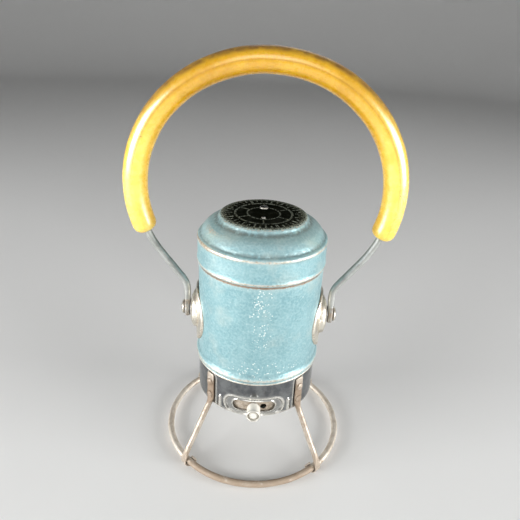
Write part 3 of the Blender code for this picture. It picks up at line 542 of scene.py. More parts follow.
def grip_material():
    """Amber yellow moulded plastic, slightly translucent, with dirt specks and a darker top: partly grime,
    partly painted shade.
    """
    s = Shader(
        "amber_plastic",
        {
            "IOR": 1.5,
            "Coat Weight": 1.0,
            "Coat Roughness": 0.25,
            "Coat IOR": 1.7,
            "Subsurface Weight": 0.35,
            "Subsurface Radius": (0.9, 0.45, 0.08),
            "Subsurface Scale": 0.004,
        },
    )
    cloud = s.step(s.noise(16.0, 3.0, 0.5, 0.6), 0.32, 0.70)
    colour = s.mix(cloud, (0.86, 0.59, 0.075), (0.90, 0.67, 0.13))
    swirl = s.step(s.noise(10.0, 3.0, 0.5, 1.5), 0.45, 0.75, 0.0, 0.35)
    colour = s.mix(swirl, colour, (0.80, 0.50, 0.025))
    # The top and the inner edges turn a deeper amber: partly ageing, partly painted shade, so the paler sides
    # read as lit.
    amber = s.mix(cloud, (0.52, 0.265, 0.003), (0.62, 0.34, 0.006))
    colour = s.mix(s.attribute("aged_and_shaded"), colour, amber)
    grime_and_shade = s.attribute("grime_and_shade")
    # A dark smear on the top: partly grime, partly painted shade.
    smear_and_shade = s.times(grime_and_shade, s.step(s.noise(6.5, 4.0, 0.6), 0.12, 0.62))
    colour = s.mix(s.times(smear_and_shade, 0.85), colour, (0.14, 0.065, 0.015))
    speck_cells = s.cells(4.6)
    size = s.step(s.noise(9.0, 2.0), 0.45, 0.75, 0.0, 0.10)
    speck = s.step(s.math("SUBTRACT", size, speck_cells), -0.02, 0.02)
    colour = s.mix(s.times(speck, 0.8), colour, (0.16, 0.08, 0.02))
    seam = s.attribute("seam")
    colour = s.mix(s.times(seam, 0.55), colour, (0.36, 0.17, 0.02))
    s.set("Base Color", colour)
    rough = s.step(s.noise(3.0, 4.0), 0.3, 0.75, 0.20, 0.34)
    s.set("Roughness", s.plus(rough, s.times(smear_and_shade, 0.25)))
    s.bump((s.noise(2.0, 4.0, 0.6), 0.03), (s.noise(7.0, 2.0), 0.10))
    return s.material


def plain_metal(name, light, dark, gloss):
    """Metal of the inner pieces: clouded, with a fine grain."""
    s = Shader(name, {"Metallic": 1.0})
    s.set("Base Color", s.mix(s.step(s.noise(3.5, 4.0, 0.6), 0.35, 0.7), light, dark))
    s.set("Roughness", s.step(s.noise(1.6, 3.0), 0.3, 0.7, gloss[0], gloss[1]))
    s.bump((s.noise(0.6, 3.0), 0.015), (s.noise(4.0, 2.0), 0.02))
    return s.material


def fibre_material(name, light, dark, dust_share):
    """Hard fibre with short strands and a dusty face."""
    s = Shader(name, {"IOR": 1.45})
    strands = s.noise(1.2, 4.0, 0.6, 0.8, stretch=(0.25, 1.0, 1.0))
    colour = s.mix(s.step(strands, 0.35, 0.65), dark, light)
    dust = s.step(s.noise(3.0, 4.0), 0.42, 0.70, 0.0, dust_share)
    colour = s.mix(dust, colour, (0.42, 0.37, 0.31))
    s.set("Base Color", colour)
    s.set("Roughness", s.step(s.noise(2.0), 0.3, 0.7, 0.55, 0.75))
    s.bump((strands, 0.04))
    return s.material


def jacket_material():
    """Battery jacket: dark blue below, a pale band, and a tarred top inside the rim."""
    s = Shader("battery_jacket", {"IOR": 1.45, "Coat Weight": 0.15})
    height = s.add("ShaderNodeSeparateXYZ", {"Vector": s.place}, "Z")
    band_z = (BATTERY_LOW + 0.62 * (BATTERY_TOP - BATTERY_LOW)) * MM
    band = s.step(height, band_z, band_z + 0.4 * MM)
    colour = s.mix(band, (0.035, 0.055, 0.15), (0.55, 0.52, 0.45))
    top_z = (BATTERY_TOP - 2.8) * MM
    tar = s.step(height, top_z, top_z + 0.3 * MM)
    colour = s.mix(tar, colour, (0.045, 0.043, 0.042))
    scuff = s.step(s.noise(3.0, 5.0, 0.7), 0.58, 0.72, 0.0, 0.5)
    colour = s.mix(scuff, colour, (0.30, 0.27, 0.23))
    s.set("Base Color", colour)
    s.set("Roughness", s.step(s.noise(4.0, 3.0), 0.3, 0.7, 0.38, 0.62))
    s.bump((s.noise(1.2, 3.0), 0.04), (s.noise(12.0), 0.15))
    return s.material


def glass_material():
    s = Shader("lamp_glass", {"Transmission Weight": 1.0, "IOR": 1.48, "Base Color": (0.97, 0.98, 0.96, 1.0)})
    s.set("Roughness", s.step(s.noise(2.5, 3.0), 0.45, 0.75, 0.01, 0.10))
    s.bump((s.noise(3.0, 2.0), 0.02))
    return s.material


def floor_material():
    s = Shader("pale_floor", {"Base Color": (0.80, 0.80, 0.79, 1.0)})
    s.set("Roughness", s.step(s.noise(60.0, 3.0), 0.3, 0.7, 0.62, 0.72))
    return s.material


PAINT = paint_material("hammered_paint", False)
COVER_PAINT = paint_material("cover_paint", True)
DISC_PAINT = paint_material("disc_paint", True, 0.0, 0.0)
# Dark base colours paint in the dark reflections of a black surround; the shine rims are painted highlights.
SKIRT_NICKEL = plated_material(
    "skirt_nickel",
    (0.26, 0.27, 0.275),
    (0.135, 0.14, 0.15),
    (0.15, 0.12, 0.09),
    (0.09, 0.22),
    shine=(0.66, 0.64, 0.58),
)
EAR_NICKEL = plated_material(
    "ear_nickel", (0.88, 0.84, 0.74), (0.70, 0.65, 0.55), (0.34, 0.26, 0.18), (0.26, 0.42), 0.6
)
KNOB_NICKEL = plated_material(
    "knob_nickel",
    (0.62, 0.60, 0.54),
    (0.46, 0.44, 0.39),
    (0.30, 0.24, 0.17),
    (0.36, 0.52),
    0.4,
    shine=(0.95, 0.92, 0.84),
    metallic=0.3,
)
# Near-black base colour paints a dark reflection on the rivet heads; the shine colour is a painted highlight
# crescent.
RIVET_DARK = plated_material(
    "rivet_dark",
    (0.035, 0.036, 0.032),
    (0.015, 0.016, 0.014),
    (0.08, 0.06, 0.04),
    (0.18, 0.32),
    shine=(0.92, 0.90, 0.83),
)
LEG_ZINC = wire_material("leg_zinc", (0.56, 0.495, 0.42), (0.39, 0.32, 0.25), (0.18, 0.115, 0.065), 0.60)
RING_ZINC = wire_material("ring_zinc", (0.76, 0.70, 0.61), (0.55, 0.47, 0.38), (0.21, 0.135, 0.075), 0.60)
BAIL_STEEL = wire_material("bail_steel", (0.50, 0.51, 0.49), (0.33, 0.34, 0.32), (0.28, 0.20, 0.13), 0.74)
GRIP_PLASTIC = grip_material()
SPRING_STEEL = plain_metal("spring_steel", (0.55, 0.55, 0.56), (0.36, 0.36, 0.38), (0.28, 0.42))
BRASS = plain_metal("brass", (0.80, 0.62, 0.30), (0.52, 0.36, 0.15), (0.25, 0.42))
SILVER = plain_metal("reflector_silver", (0.92, 0.91, 0.88), (0.80, 0.79, 0.74), (0.06, 0.16))
FIBRE = fibre_material("brown_fibre", (0.30, 0.16, 0.09), (0.17, 0.075, 0.04), 0.4)
DUSTY_FIBRE = fibre_material("dusty_fibre", (0.42, 0.355, 0.275), (0.22, 0.175, 0.13), 0.8)
JACKET = jacket_material()
GLASS = glass_material()


# Painted can and cover


def make_can():
    """Painted sheet with a rolled bead and a narrower neck, its floor open in the middle."""
    cup_r = SKIRT_R - 2.4
    corners = [
        (CAN_NECK_R, CAN_TOP, 0.3), (CAN_NECK_R, COVER_LOW + 1.6, 0.8), (CAN_R, COVER_LOW + 0.4, 0.8),
        (CAN_R, BEAD_LOW + 5.6, 1.6), (BEAD_R - 0.55, BEAD_LOW + 3.9, 0.9),
        (BEAD_R, BEAD_LOW + 2.9, 0.9), (BEAD_R, BEAD_LOW + 1.3, 0.6),
        (BEAD_R - 0.95, BEAD_LOW + 0.55, 0.3), (BEAD_R - 1.0, BEAD_LOW - 0.1, 0.3),
        (BEAD_R - 0.45, BEAD_LOW - 0.5, 0.3), (BEAD_R - 0.45, BEAD_LOW - 1.3, 0.35),
        (BEAD_R - 0.9, BEAD_LOW - 1.6, 0.3), (SKIRT_R + 0.3, BEAD_LOW - 1.3, 0.2),
        (SKIRT_R + 0.3, SKIRT_TOP + 0.3), (cup_r, SKIRT_TOP + 0.3), (cup_r, CAN_FLOOR, 0.6),
        (FLOOR_HOLE_R, CAN_FLOOR), (FLOOR_HOLE_R, CAN_FLOOR + 0.9), (cup_r - 0.6, CAN_FLOOR + 0.9),
        (cup_r - 0.6, SKIRT_TOP + 1.5, 0.8), (CAN_R - SHEET, SKIRT_TOP + 3.3, 0.8),
        (CAN_R - SHEET, COVER_LOW), (CAN_NECK_R - SHEET, COVER_LOW + 1.6),
        (CAN_NECK_R - SHEET, CAN_TOP, 0.3),
    ]
    outline = even_out(soften(corners, closed=True), 1.0)
    can = lathe_piece("painted_can", "lantern", "blue_paint", PAINT, outline, 160, "body_can")
    points = vertex_array(can)
    z = points[:, 2]
    radius = np.hypot(points[:, 0], points[:, 1])
    wall = smooth_step(z, BEAD_LOW + 8.0, BEAD_LOW + 20.0)
    wall *= 1.0 - smooth_step(z, COVER_LOW - 12.0, COVER_LOW - 2.0)
    depth = uneven(points, 26.0, 0.32, 3.0) * wall
    dents = ((-70.0, 96.0, 7.0, 0.5), (-112.0, 128.0, 5.0, 0.35), (60.0, 118.0, 9.0, 0.6))
    for azimuth, height, size, dent in dents:
        turn = math.radians(azimuth)
        spot = np.array([CAN_R * math.cos(turn), CAN_R * math.sin(turn), height])
        depth -= dent * bell(np.linalg.norm(points - spot, axis=1), 0.0, size) * wall
    points[:, :2] *= (1.0 + depth / radius)[:, None]
    move_vertices(can, points)
    outside = smooth_step(radius, CAN_NECK_R - 0.35, CAN_NECK_R)
    foot = bell(z, BEAD_LOW - 0.8, 0.6) * smooth_step(radius, BEAD_R - 1.6, BEAD_R - 0.8)
    # The paler band on the bead is partly worn paint and partly a painted highlight on its upward-facing top.
    rim = 0.70 * bell(z, BEAD_LOW + 2.4, 1.8) * smooth_step(radius, BEAD_R - 1.3, BEAD_R - 0.3)
    near_cover = 0.42 * bell(z, COVER_LOW - 3.2, 1.6)
    under_lip = bell(z, COVER_LOW - 1.5, 0.75)
    set_attribute(can, "wear_and_highlight", (foot + rim + near_cover + under_lip) * outside + 0.25 * bell(z, CAN_TOP, 2.0))
    # Darker under the cover's lip, in the groove at the bead's foot, just above the bead and on the neck
    # inside the cover; the dark lines at the bead are painted shade in its creases, partly dirt.
    seam = 0.3 * under_lip + 0.9 * bell(z, BEAD_LOW + 0.3, 0.4) + 0.3 * bell(z, BEAD_LOW + 5.2, 1.0)
    set_attribute(can, "grime_and_shade", seam * outside + 0.35 * smooth_step(z, COVER_LOW, COVER_LOW + 4.0))
    front = np.degrees(np.arctan2(points[:, 0], -points[:, 1]))
    column = bell(front, 2.0, 15.0) * (0.45 + 0.55 * smooth_step(z, 92.0, 118.0))
    left_patch = 0.5 * bell(front, -36.0, 16.0) * bell(z, 138.0, 16.0)
    right_patch = 0.5 * bell(front, 42.0, 12.0) * bell(z, 136.0, 12.0)
    low_band = 0.75 * bell(z, 86.0, 7.0) * bell(front, 4.0, 38.0) + 0.35 * bell(z, 84.0, 5.0)
    set_attribute(can, "flecks", column + left_patch + right_patch + low_band)
    set_attribute(can, "rust", 0.3 * bell(z, BEAD_LOW - 1.3, 0.3) + 0.8 * bell(z, COVER_LOW - 1.5, 1.6))


def disc_marks(x, y):
    """Plain raised marks on the flat disc, from 0 to 1.

    They are a ring of ticks at the edge, two thin rings, and six spokes between those rings.
    """
    radius = np.hypot(x, y)
    turn = np.degrees(np.arctan2(y, x)) % 360.0
    ticks = 40
    pitch = 360.0 / ticks
    number = np.floor(turn / pitch)
    offset = (turn / pitch - number - 0.5) * pitch
    across = np.abs(np.radians(offset) * radius)
    long_tick = (number.astype(int) % 2) == 0
    inner_r = np.where(long_tick, 21.4, 22.9)
    reach = smooth_step(radius, inner_r - 0.25, inner_r + 0.25) * (1.0 - smooth_step(radius, 25.2, 25.7))
    marks = reach * (1.0 - smooth_step(across, 0.30, 0.62))
    for ring_r, width in ((19.2, 0.38), (11.0, 0.30)):
        marks = np.maximum(marks, 1.0 - smooth_step(np.abs(radius - ring_r), width, width + 0.35))
    for spoke in range(6):
        direction = math.radians(60.0 * spoke + 30.0)
        along = x * math.cos(direction) + y * math.sin(direction)
        aside = np.abs(y * math.cos(direction) - x * math.sin(direction))
        reach = smooth_step(along, 11.0, 11.5) * (1.0 - smooth_step(along, 18.6, 19.1))
        marks = np.maximum(marks, reach * (1.0 - smooth_step(aside, 0.22, 0.5)))
    return marks


def make_cover():
    """Painted sheet with a flared lip, a stepped shoulder and a flat disc that carries the marks."""
    shoulder = [
        (COVER_LIP_R - 0.1, COVER_LOW, 0.3), (COVER_LIP_R, COVER_LOW + 0.9, 0.5),
        (COVER_R + 0.05, COVER_LOW + 2.6, 0.8), (COVER_R - 0.05, COVER_LOW + 14.6, 0.8),
        (COVER_R + 0.35, COVER_LOW + 15.6, 0.5), (COVER_R + 0.35, COVER_LOW + 16.7, 0.7),
        (COVER_R - 0.5, COVER_LOW + 17.8, 1.0), (COVER_R - 1.9, COVER_LOW + 18.6, 1.3),
        (COVER_R - 3.3, COVER_TOP - 10.6, 2.0), (COVER_R - 6.4, COVER_TOP - 6.8, 3.2),
        (COVER_R - 12.2, COVER_TOP - 4.0, 2.0), (DISC_R + 2.1, COVER_TOP - 2.9, 1.0),
        (DISC_R + 1.1, COVER_TOP - 0.8, 0.9), (DISC_R - 0.6, COVER_TOP - 0.1, 0.6),
        (DISC_R - 1.4, COVER_TOP - 0.25, 0.4),
    ]
    outer = even_out(soften(shoulder), 0.8)
    disc = [(r, COVER_TOP - 0.25) for r in np.arange(DISC_R - 1.8, 0.0, -0.35)] + [(0.0, COVER_TOP - 0.25)]
    inner_disc = [(0.0, COVER_TOP - 0.25 - SHEET), (DISC_R - 0.8, COVER_TOP - 0.25 - SHEET)]
    shell = []
    for i, point in enumerate(outer):
        before = np.array(outer[max(i - 1, 0)])
        after = np.array(outer[min(i + 1, len(outer) - 1)])
        along = (after - before) / np.linalg.norm(after - before)
        shell.append((point[0] - SHEET * along[1], point[1] + SHEET * along[0]))
    # The inside follows the shoulder with every seventh point only
    inner = inner_disc + shell[-5:0:-7] + [(COVER_LIP_R - SHEET, COVER_LOW)]
    outline = outer + disc + inner
    cover = lathe_piece("cover_shell", "cover", "blue_paint", COVER_PAINT, outline, 288, "top_cover")
    points = vertex_array(cover)
    x, y, z = points.T
    radius = np.hypot(x, y)
    on_disc = (radius < DISC_R - 1.2) & (z > COVER_TOP - 0.6)
    marks = disc_marks(x, y)
    z[on_disc] += 0.24 * marks[on_disc]
    z -= uneven(points, 22.0, 0.22, 7.0) * (z > COVER_TOP - 12.0)
    side = smooth_step(z, COVER_LOW + 2.0, COVER_LOW + 5.0)
    side *= 1.0 - smooth_step(z, COVER_LOW + 11.0, COVER_LOW + 14.0)
    swell = 1.0 + uneven(points, 24.0, 0.22, 5.0) * side / np.maximum(radius, 1.0)
    points = np.stack((x * swell, y * swell, z), axis=1)
    move_vertices(cover, points)
    front = np.degrees(np.arctan2(x, -y))
    left_side = bell(front, -62.0, 26.0)
    lip = bell(z, COVER_LOW + 0.8, 0.9) * smooth_step(radius, COVER_LIP_R - 0.9, COVER_LIP_R - 0.3)
    bead = bell(z, COVER_LOW + 16.3, 1.7) * smooth_step(radius, COVER_R - 1.0, COVER_R - 0.1)
    step_edge = 0.6 * bell(z, COVER_TOP - 0.9, 0.8) * bell(radius, DISC_R + 0.8, 1.2)
    # The left side is paler, partly worn and partly a painted highlight from the side light; a pale band
    # round the shoulder is a painted highlight.
    left_highlight_and_wear = 0.35 * left_side * smooth_step(z, COVER_LOW + 9.0, COVER_LOW + 16.0)
    side_patch = 0.34 * bell(front, -38.0, 17.0) * bell(z, COVER_LOW + 8.0, 5.0)
    shoulder_highlight_and_wear = 0.30 * bell(z, COVER_TOP - 6.5, 4.5) + left_highlight_and_wear * (radius > 36.0)
    set_attribute(cover, "wear_and_highlight", 0.80 * lip + 0.72 * bead + step_edge + side_patch + shoulder_highlight_and_wear)
    set_attribute(cover, "rust", bell(z, COVER_LOW - 0.1, 0.5) + 0.3 * bell(z, COVER_LOW + 17.6, 0.5))
    # Painted shade: a dark band in the groove above the bead and a dark ring in the valley round the disc's
    # step; a thin dark line at the lip's lower edge.
    groove = 0.60 * bell(z, COVER_LOW + 19.0, 1.7) * smooth_step(COVER_R - radius, 0.6, 1.8)
    edge_line = 0.5 * bell(z, COVER_LOW, 0.3)
    valley = 0.75 * bell(radius, DISC_R + 3.0, 1.8)
    set_attribute(cover, "grime_and_shade", groove + edge_line + valley * (z > COVER_TOP - 8.0))
    side_flecks = 0.30 * bell(front, 18.0, 30.0) + 0.5 * left_side
    set_attribute(cover, "flecks", 0.05 + side_flecks)
    cover.data.materials.append(DISC_PAINT)
    for polygon in cover.data.polygons:
        middle = polygon.center / MM
        if middle.z > COVER_TOP - 1.6 and middle.xy.length < DISC_R + 1.4:
            polygon.material_index = 1
    # The flat disc's near-black colour is painted shade; the pale flanks of its raised marks and its fuzzy
    # rim are painted highlights.
    on_top = (z > COVER_TOP - 1.2) * 1.0
    set_attribute(cover, "disc", on_top * (1.0 - smooth_step(radius, DISC_R - 2.0, DISC_R + 2.6)))
    edge = 4.0 * marks * (1.0 - marks) + 0.35 * marks + 0.8 * smooth_step(radius, DISC_R - 4.0, DISC_R)
    set_attribute(cover, "edge", edge * (radius > 18.0) + 0.45 * marks * (radius <= 18.0))


def make_cover_rivets():
    for word in ("front", "rear"):
        node = "cover_rivet_" + word
        low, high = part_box(node)
        centre = ((low.x + high.x) / 2 / MM, (low.y + high.y) / 2 / MM, 0.0)
        head_r = (high.x - low.x) / 2 / MM
        tail = low.z / MM
        top = high.z / MM
        seat = COVER_TOP - 0.2
        shank_r = 0.38 * head_r
        outline = soften(
            [
                (0.0, tail), (shank_r + 0.7, tail, 0.2), (shank_r + 0.7, tail + 0.6, 0.2),
                (shank_r, tail + 0.6), (shank_r, seat), (head_r, seat, 0.15),
                (head_r, seat + 0.35, 0.3), (0.8 * head_r, seat + 0.6 * (top - seat), 0.4),
                (0.45 * head_r, top - 0.12, 0.5), (0.0, top),
            ]
        )
        name = node + "_head"
        head = lathe_piece(name, "cover", "knob_nickel", RIVET_DARK, outline, 48, node, False, centre=centre)
        points = vertex_array(head)
        # Painted highlight: a pale crescent on the front of each head's rim.
        forward = (centre[1] - points[:, 1]) / head_r
        rim = bell(np.hypot(points[:, 0] - centre[0], points[:, 1] - centre[1]), 0.90 * head_r, 0.13 * head_r)
        set_attribute(head, "polish_and_highlight", rim * smooth_step(forward, 0.30, 0.60))
        set_attribute(head, "grime_and_shade", np.zeros(len(points)))


# Skirt


def stadium_distance(across, up, half_width, half_height):
    """Signed distance to a long hole with round ends: negative inside."""
    straight = half_width - half_height
    return np.hypot(np.maximum(np.abs(across) - straight, 0.0), up) - half_height


def skirt_shapes(turn, z):
    """Signed distances to the shapes pressed into the skirt; turn is in degrees from the front."""
    front = (turn + 180.0) % 360.0 - 180.0
    across = np.radians(front) * SKIRT_R
    up = z - KNOB_Z
    recess = stadium_distance(across, up, math.radians(RECESS_HALF_ANGLE) * SKIRT_R, RECESS_HALF_HEIGHT)
    slot = stadium_distance(across, up, math.radians(SLOT_HALF_ANGLE) * SKIRT_R, SLOT_HALF_HEIGHT)
    rib_middle = np.where(across < 0.0, -1.0, 1.0) * math.radians(RIB_ANGLE) * SKIRT_R
    rib = stadium_distance(z - RIB_Z, across - rib_middle, RIB_HALF_LENGTH, RIB_HALF_WIDTH)
    leg = (turn % 90.0 - 45.0) * math.radians(SKIRT_R)
    channel_middle = (CHANNEL_TOP + SKIRT_LOW - 12.0) / 2
    channel = stadium_distance(z - channel_middle, leg, CHANNEL_TOP - channel_middle, CHANNEL_HALF_WIDTH)
    return recess, slot, rib, channel


def skirt_relief(turn, z):
    """How far the skirt's face stands out at a place."""
    recess, slot, rib, channel = skirt_shapes(turn, z)
    relief = -0.95 * (1.0 - smooth_step(recess, -0.8, 0.4))
    relief += 0.42 * bell(recess, 0.6, 0.8)
    relief += 0.62 * bell(slot, 0.35, 0.5)
    relief += 1.0 * (1.0 - smooth_step(rib, -1.3, 0.4))
    relief -= 0.9 * (1.0 - smooth_step(channel, -0.5, 0.1))
    relief += 0.55 * bell(channel, 0.5, 0.5)
    return relief


def make_skirt():
    """Plated wall with pressed shapes; the selector's slot is cut through it."""
    turns = np.arange(0.0, 360.0, 0.4)
    inner_r = SKIRT_R - SKIRT_WALL
    # (radius, height, share of the relief), down the outside and up the inside
    rows = [(SKIRT_R, z, 1.0) for z in np.arange(SKIRT_TOP, SKIRT_LOW + 1.6, -0.36)]
    curl = [(SKIRT_R, SKIRT_LOW + 1.5), (SKIRT_R - 0.05, SKIRT_LOW, 1.2), (SKIRT_R - 1.3, SKIRT_LOW + 0.1)]
    rows += [(r, z, float(smooth_step(np.array(z), SKIRT_LOW, SKIRT_LOW + 1.5))) for r, z in soften(curl, 6)]
    rows += [(inner_r - 0.8, SKIRT_LOW + 0.5, 0.0), (inner_r - 0.3, SKIRT_LOW + 1.2, 0.5)]
    rows += [(inner_r, z, 1.0) for z in np.arange(SKIRT_LOW + 2.2, SKIRT_TOP, 1.1)]
    rows.append((inner_r, SKIRT_TOP, 1.0))
    grid = []
    angle = np.radians(turns - 90.0)
    for r, z, share in rows:
        height = np.full_like(turns, z)
        radius = r + share * skirt_relief(turns, height)
        grid.append(np.stack((radius * np.cos(angle), radius * np.sin(angle), height), axis=1))
    points = np.array(grid).reshape(-1, 3)
    faces = grid_faces(len(rows), len(turns), True, True)
    skirt = make_piece("nickel_skirt", "lantern", SKIRT_NICKEL, points, faces, "base_skirt")
    outline = stadium_outline(math.radians(SLOT_HALF_ANGLE) * SKIRT_R, SLOT_HALF_HEIGHT, 16)
    slot_points = []
    for radius in (inner_r - 4.0, SKIRT_R + 4.0):
        for across, up in outline:
            turn = across / SKIRT_R - math.pi / 2
            slot_points.append((radius * math.cos(turn), radius * math.sin(turn), KNOB_Z + up))
    slot_faces = grid_faces(2, len(outline), False, True) + strip_caps(len(outline))
    cut(skirt, "slot_cutter", slot_points, slot_faces)
    points = vertex_array(skirt)
    turn = np.degrees(np.arctan2(points[:, 1], points[:, 0])) + 90.0
    z = points[:, 2]
    recess, slot, rib, channel = skirt_shapes(turn, z)
    outside = np.hypot(points[:, 0], points[:, 1]) > inner_r + 0.1 + skirt_relief(turn, z)
    # Painted highlights, partly rubbed bright: pale lines along the rims of the recess, slot, channels and
    # ribs, a paler recess floor and the rolled bottom edge.
    polish_and_highlight = 0.85 * bell(recess, 0.5, 1.15) + 0.5 * bell(slot, 0.45, 0.6) + 0.8 * bell(channel, 0.5, 0.6)
    polish_and_highlight += 0.75 * (1.0 - smooth_step(rib, -0.8, 0.4))
    polish_and_highlight += 0.28 * (1.0 - smooth_step(recess, -1.0, 0.0)) + 0.8 * bell(z, SKIRT_LOW + 0.6, 0.8)
    set_attribute(skirt, "polish_and_highlight", polish_and_highlight * outside)
    # Painted shade, partly dirt: darker just inside the recess, under the can's bead and in the channels
    # behind the leg plates.
    grime_and_shade = 0.6 * bell(recess, -0.7, 0.5) + 0.6 * bell(z, SKIRT_TOP - 2.6, 0.9)
    grime_and_shade += 1.0 - smooth_step(channel, -0.8, 0.0)
    set_attribute(skirt, "grime_and_shade", grime_and_shade)


def stadium_outline(half_width, half_height, steps):
    """A long hole's outline as an even number of points: the lower edge, then the upper one back."""
    straight = half_width - half_height
    spread = np.linspace(-1.0, 1.0, 2 * steps + 1)
    across = half_width * np.sin(spread * math.pi / 2)
    past = np.clip((np.abs(across) - straight) / half_height, 0.0, 1.0)
    up = half_height * np.sqrt(1.0 - past**2)
    lower = [(a, -b) for a, b in zip(across, up)]
    upper = [(a, b) for a, b in zip(across, up)][-2:0:-1]
    return lower + upper


def strip_caps(count):
    """End faces of a two-ring cutter whose outline is made by stadium_outline."""
    half = count // 2
    faces = []
    for ring, flip in ((0, True), (1, False)):
        start = ring * count
        for i in range(half):
            low_a = start + i
            low_b = start + i + 1
            high_a = start + (count - i) % count
            high_b = start + (count - i - 1) % count
            face = [low_a, low_b, high_b, high_a]
            face = [v for k, v in enumerate(face) if v not in face[:k]]
            faces.append(tuple(face[::-1] if flip else face))
    return faces


# Base ring and legs


def make_base_ring():
    turns = np.radians(np.arange(0.0, 360.0, 1.5))
    path = np.stack((RING_R * np.cos(turns), RING_R * np.sin(turns), np.full_like(turns, RING_Z)), axis=1)
    count = len(path)
    sizes = np.full(count, 2.0 * RING_WIRE)
    sides = 28
    rings = sweep_points(path, sizes, sizes, np.full(count, 2.0), (0.0, 0.0, 1.0), sides, loop=True)
    points = rings.reshape(-1, 3)
    middle = np.repeat(path, sides, axis=0)
    out = (points - middle) / RING_WIRE
    points = points + out * (uneven(points, 5.0, 0.10, 1.0) - 0.05)[:, None]
    faces = grid_faces(count, sides, True, True)
    ring = make_piece("standing_ring", "lantern", RING_ZINC, points, faces, "base_ring")
    y, z = vertex_array(ring)[:, 1:].T
    # Darker toward the bottom and the front: partly rust, partly painted shade on the ring's underside.
    low = 1.0 - smooth_step(z, RING_Z - 1.6, RING_Z + 1.4)
    grime_and_shade = 0.10 + 0.60 * low + (0.75 + 0.5 * low) * smooth_step(-y, 34.0, RING_R - 8.0)
    set_attribute(ring, "grime_and_shade", grime_and_shade)


def leg_rows(tab_side):
    """(x, y, z, width, thickness, squareness) along a leg whose radial direction is +X."""
    plate_x = SKIRT_R + LEG_GAP + LEG_PLATE / 2
    strap = 1.15
    hook_r = RING_Z / math.cos(math.radians(15.0)) - strap / 2
    rows = [
        (plate_x, 0.0, 71.9, 4.6, 1.0, 4.0), (plate_x, 0.0, 71.3, 5.9, 1.4, 4.5),
        (plate_x, 0.0, 69.8, 6.5, 1.5, 6.0), (plate_x, 0.0, 61.0, 6.3, 1.5, 6.0),
        (plate_x, 0.0, 52.6, 6.6, 1.5, 6.0), (plate_x + 0.05, 0.0, 50.3, 6.2, 1.8, 4.0),
        (plate_x + 0.45, 0.0, 48.1, 5.0, 3.0, 2.6), (plate_x + 1.5, 0.0, 45.4, 4.2, 4.0, 2.0),
        (plate_x + 4.4, 0.0, 40.6, 4.1, 4.1, 2.0), (RING_R - 6.2, 0.0, RING_Z + 18.4, 4.1, 4.1, 2.0),
        (RING_R - 1.5, 0.0, RING_Z + 11.4, 4.2, 3.9, 2.1),
        (RING_R + 1.0, 0.0, RING_Z + 6.9, 4.5, 2.9, 2.8),
        (RING_R + 2.7, 0.0, RING_Z + 3.4, 5.0, 1.7, 3.8),
    ]
    stations = 9
    for i in range(stations):
        turn = math.radians(15.0 - 30.0 * i)
        drift = tab_side * 4.4 * max(0, i - 2) / (stations - 3) / RING_R
        reach = RING_R + hook_r * math.cos(turn)
        width = 5.2 if i < stations - 1 else 4.2
        place = (reach * math.cos(drift), reach * math.sin(drift), RING_Z + hook_r * math.sin(turn))
        rows.append((*place, width, strap, 4.5))
    return rows


def crease_hook(rings, row_count):
    """The flat strap of the hook was pinched from a round rod: its outer face keeps two ridges."""
    sides = rings.shape[1]
    around = np.linspace(0.0, 2.0 * np.pi, sides, endpoint=False)
    middle = bell(around, np.pi / 2, 0.36)
    row = np.linspace(0.0, row_count - 1.0, len(rings))
    hook = smooth_step(row, 10.5, 12.5) * (1.0 - smooth_step(row, 15.5, 17.5))
    inward = np.mean(rings, axis=1)[:, None, :] - rings
    inward /= np.linalg.norm(inward, axis=2)[:, :, None] + 1e-9
    return (rings + inward * (0.5 * hook[:, None] * middle[None, :])[:, :, None]).reshape(-1, 3)


def turned(points, azimuth):
    """The points turned about the vertical middle line."""
    turn = math.radians(azimuth)
    x = points[:, 0] * math.cos(turn) - points[:, 1] * math.sin(turn)
    y = points[:, 0] * math.sin(turn) + points[:, 1] * math.cos(turn)
    return np.stack((x, y, points[:, 2]), axis=1)


def make_legs():
    sides = 24
    for corner, (azimuth, tab_side) in LEG_CORNERS.items():
        shape = leg_rows(tab_side)
        rows = smooth_path(shape, 6)
        across = np.stack((-rows[:, 1], rows[:, 0], np.zeros(len(rows))), axis=1)
        rings = sweep_points(rows[:, :3], rows[:, 3], rows[:, 4], rows[:, 5], across, sides)
        points = crease_hook(rings, len(shape))
        rod = smooth_step(points[:, 2], 10.0, 14.0) * (1.0 - smooth_step(points[:, 2], 44.0, 47.0))
        bend = uneven(points, 30.0, 0.45, azimuth) * rod
        points[:, 1] += bend
        points[:, 2] = np.maximum(points[:, 2], 0.0)
        points, faces = capped(points, len(rings), sides)
        name = "leg_" + corner
        placed = turned(np.array(points), azimuth)
        leg = make_piece(name + "_wire", "lantern", LEG_ZINC, placed, faces, name)
        z = vertex_array(leg)[:, 2]
        grime_and_shade = 0.22 + 0.5 * bell(z, 49.0, 2.5) + 0.15 * bell(z, 4.0, 4.0) + 0.75 * bell(z, 58.0, 9.0)
        set_attribute(leg, "grime_and_shade", grime_and_shade)


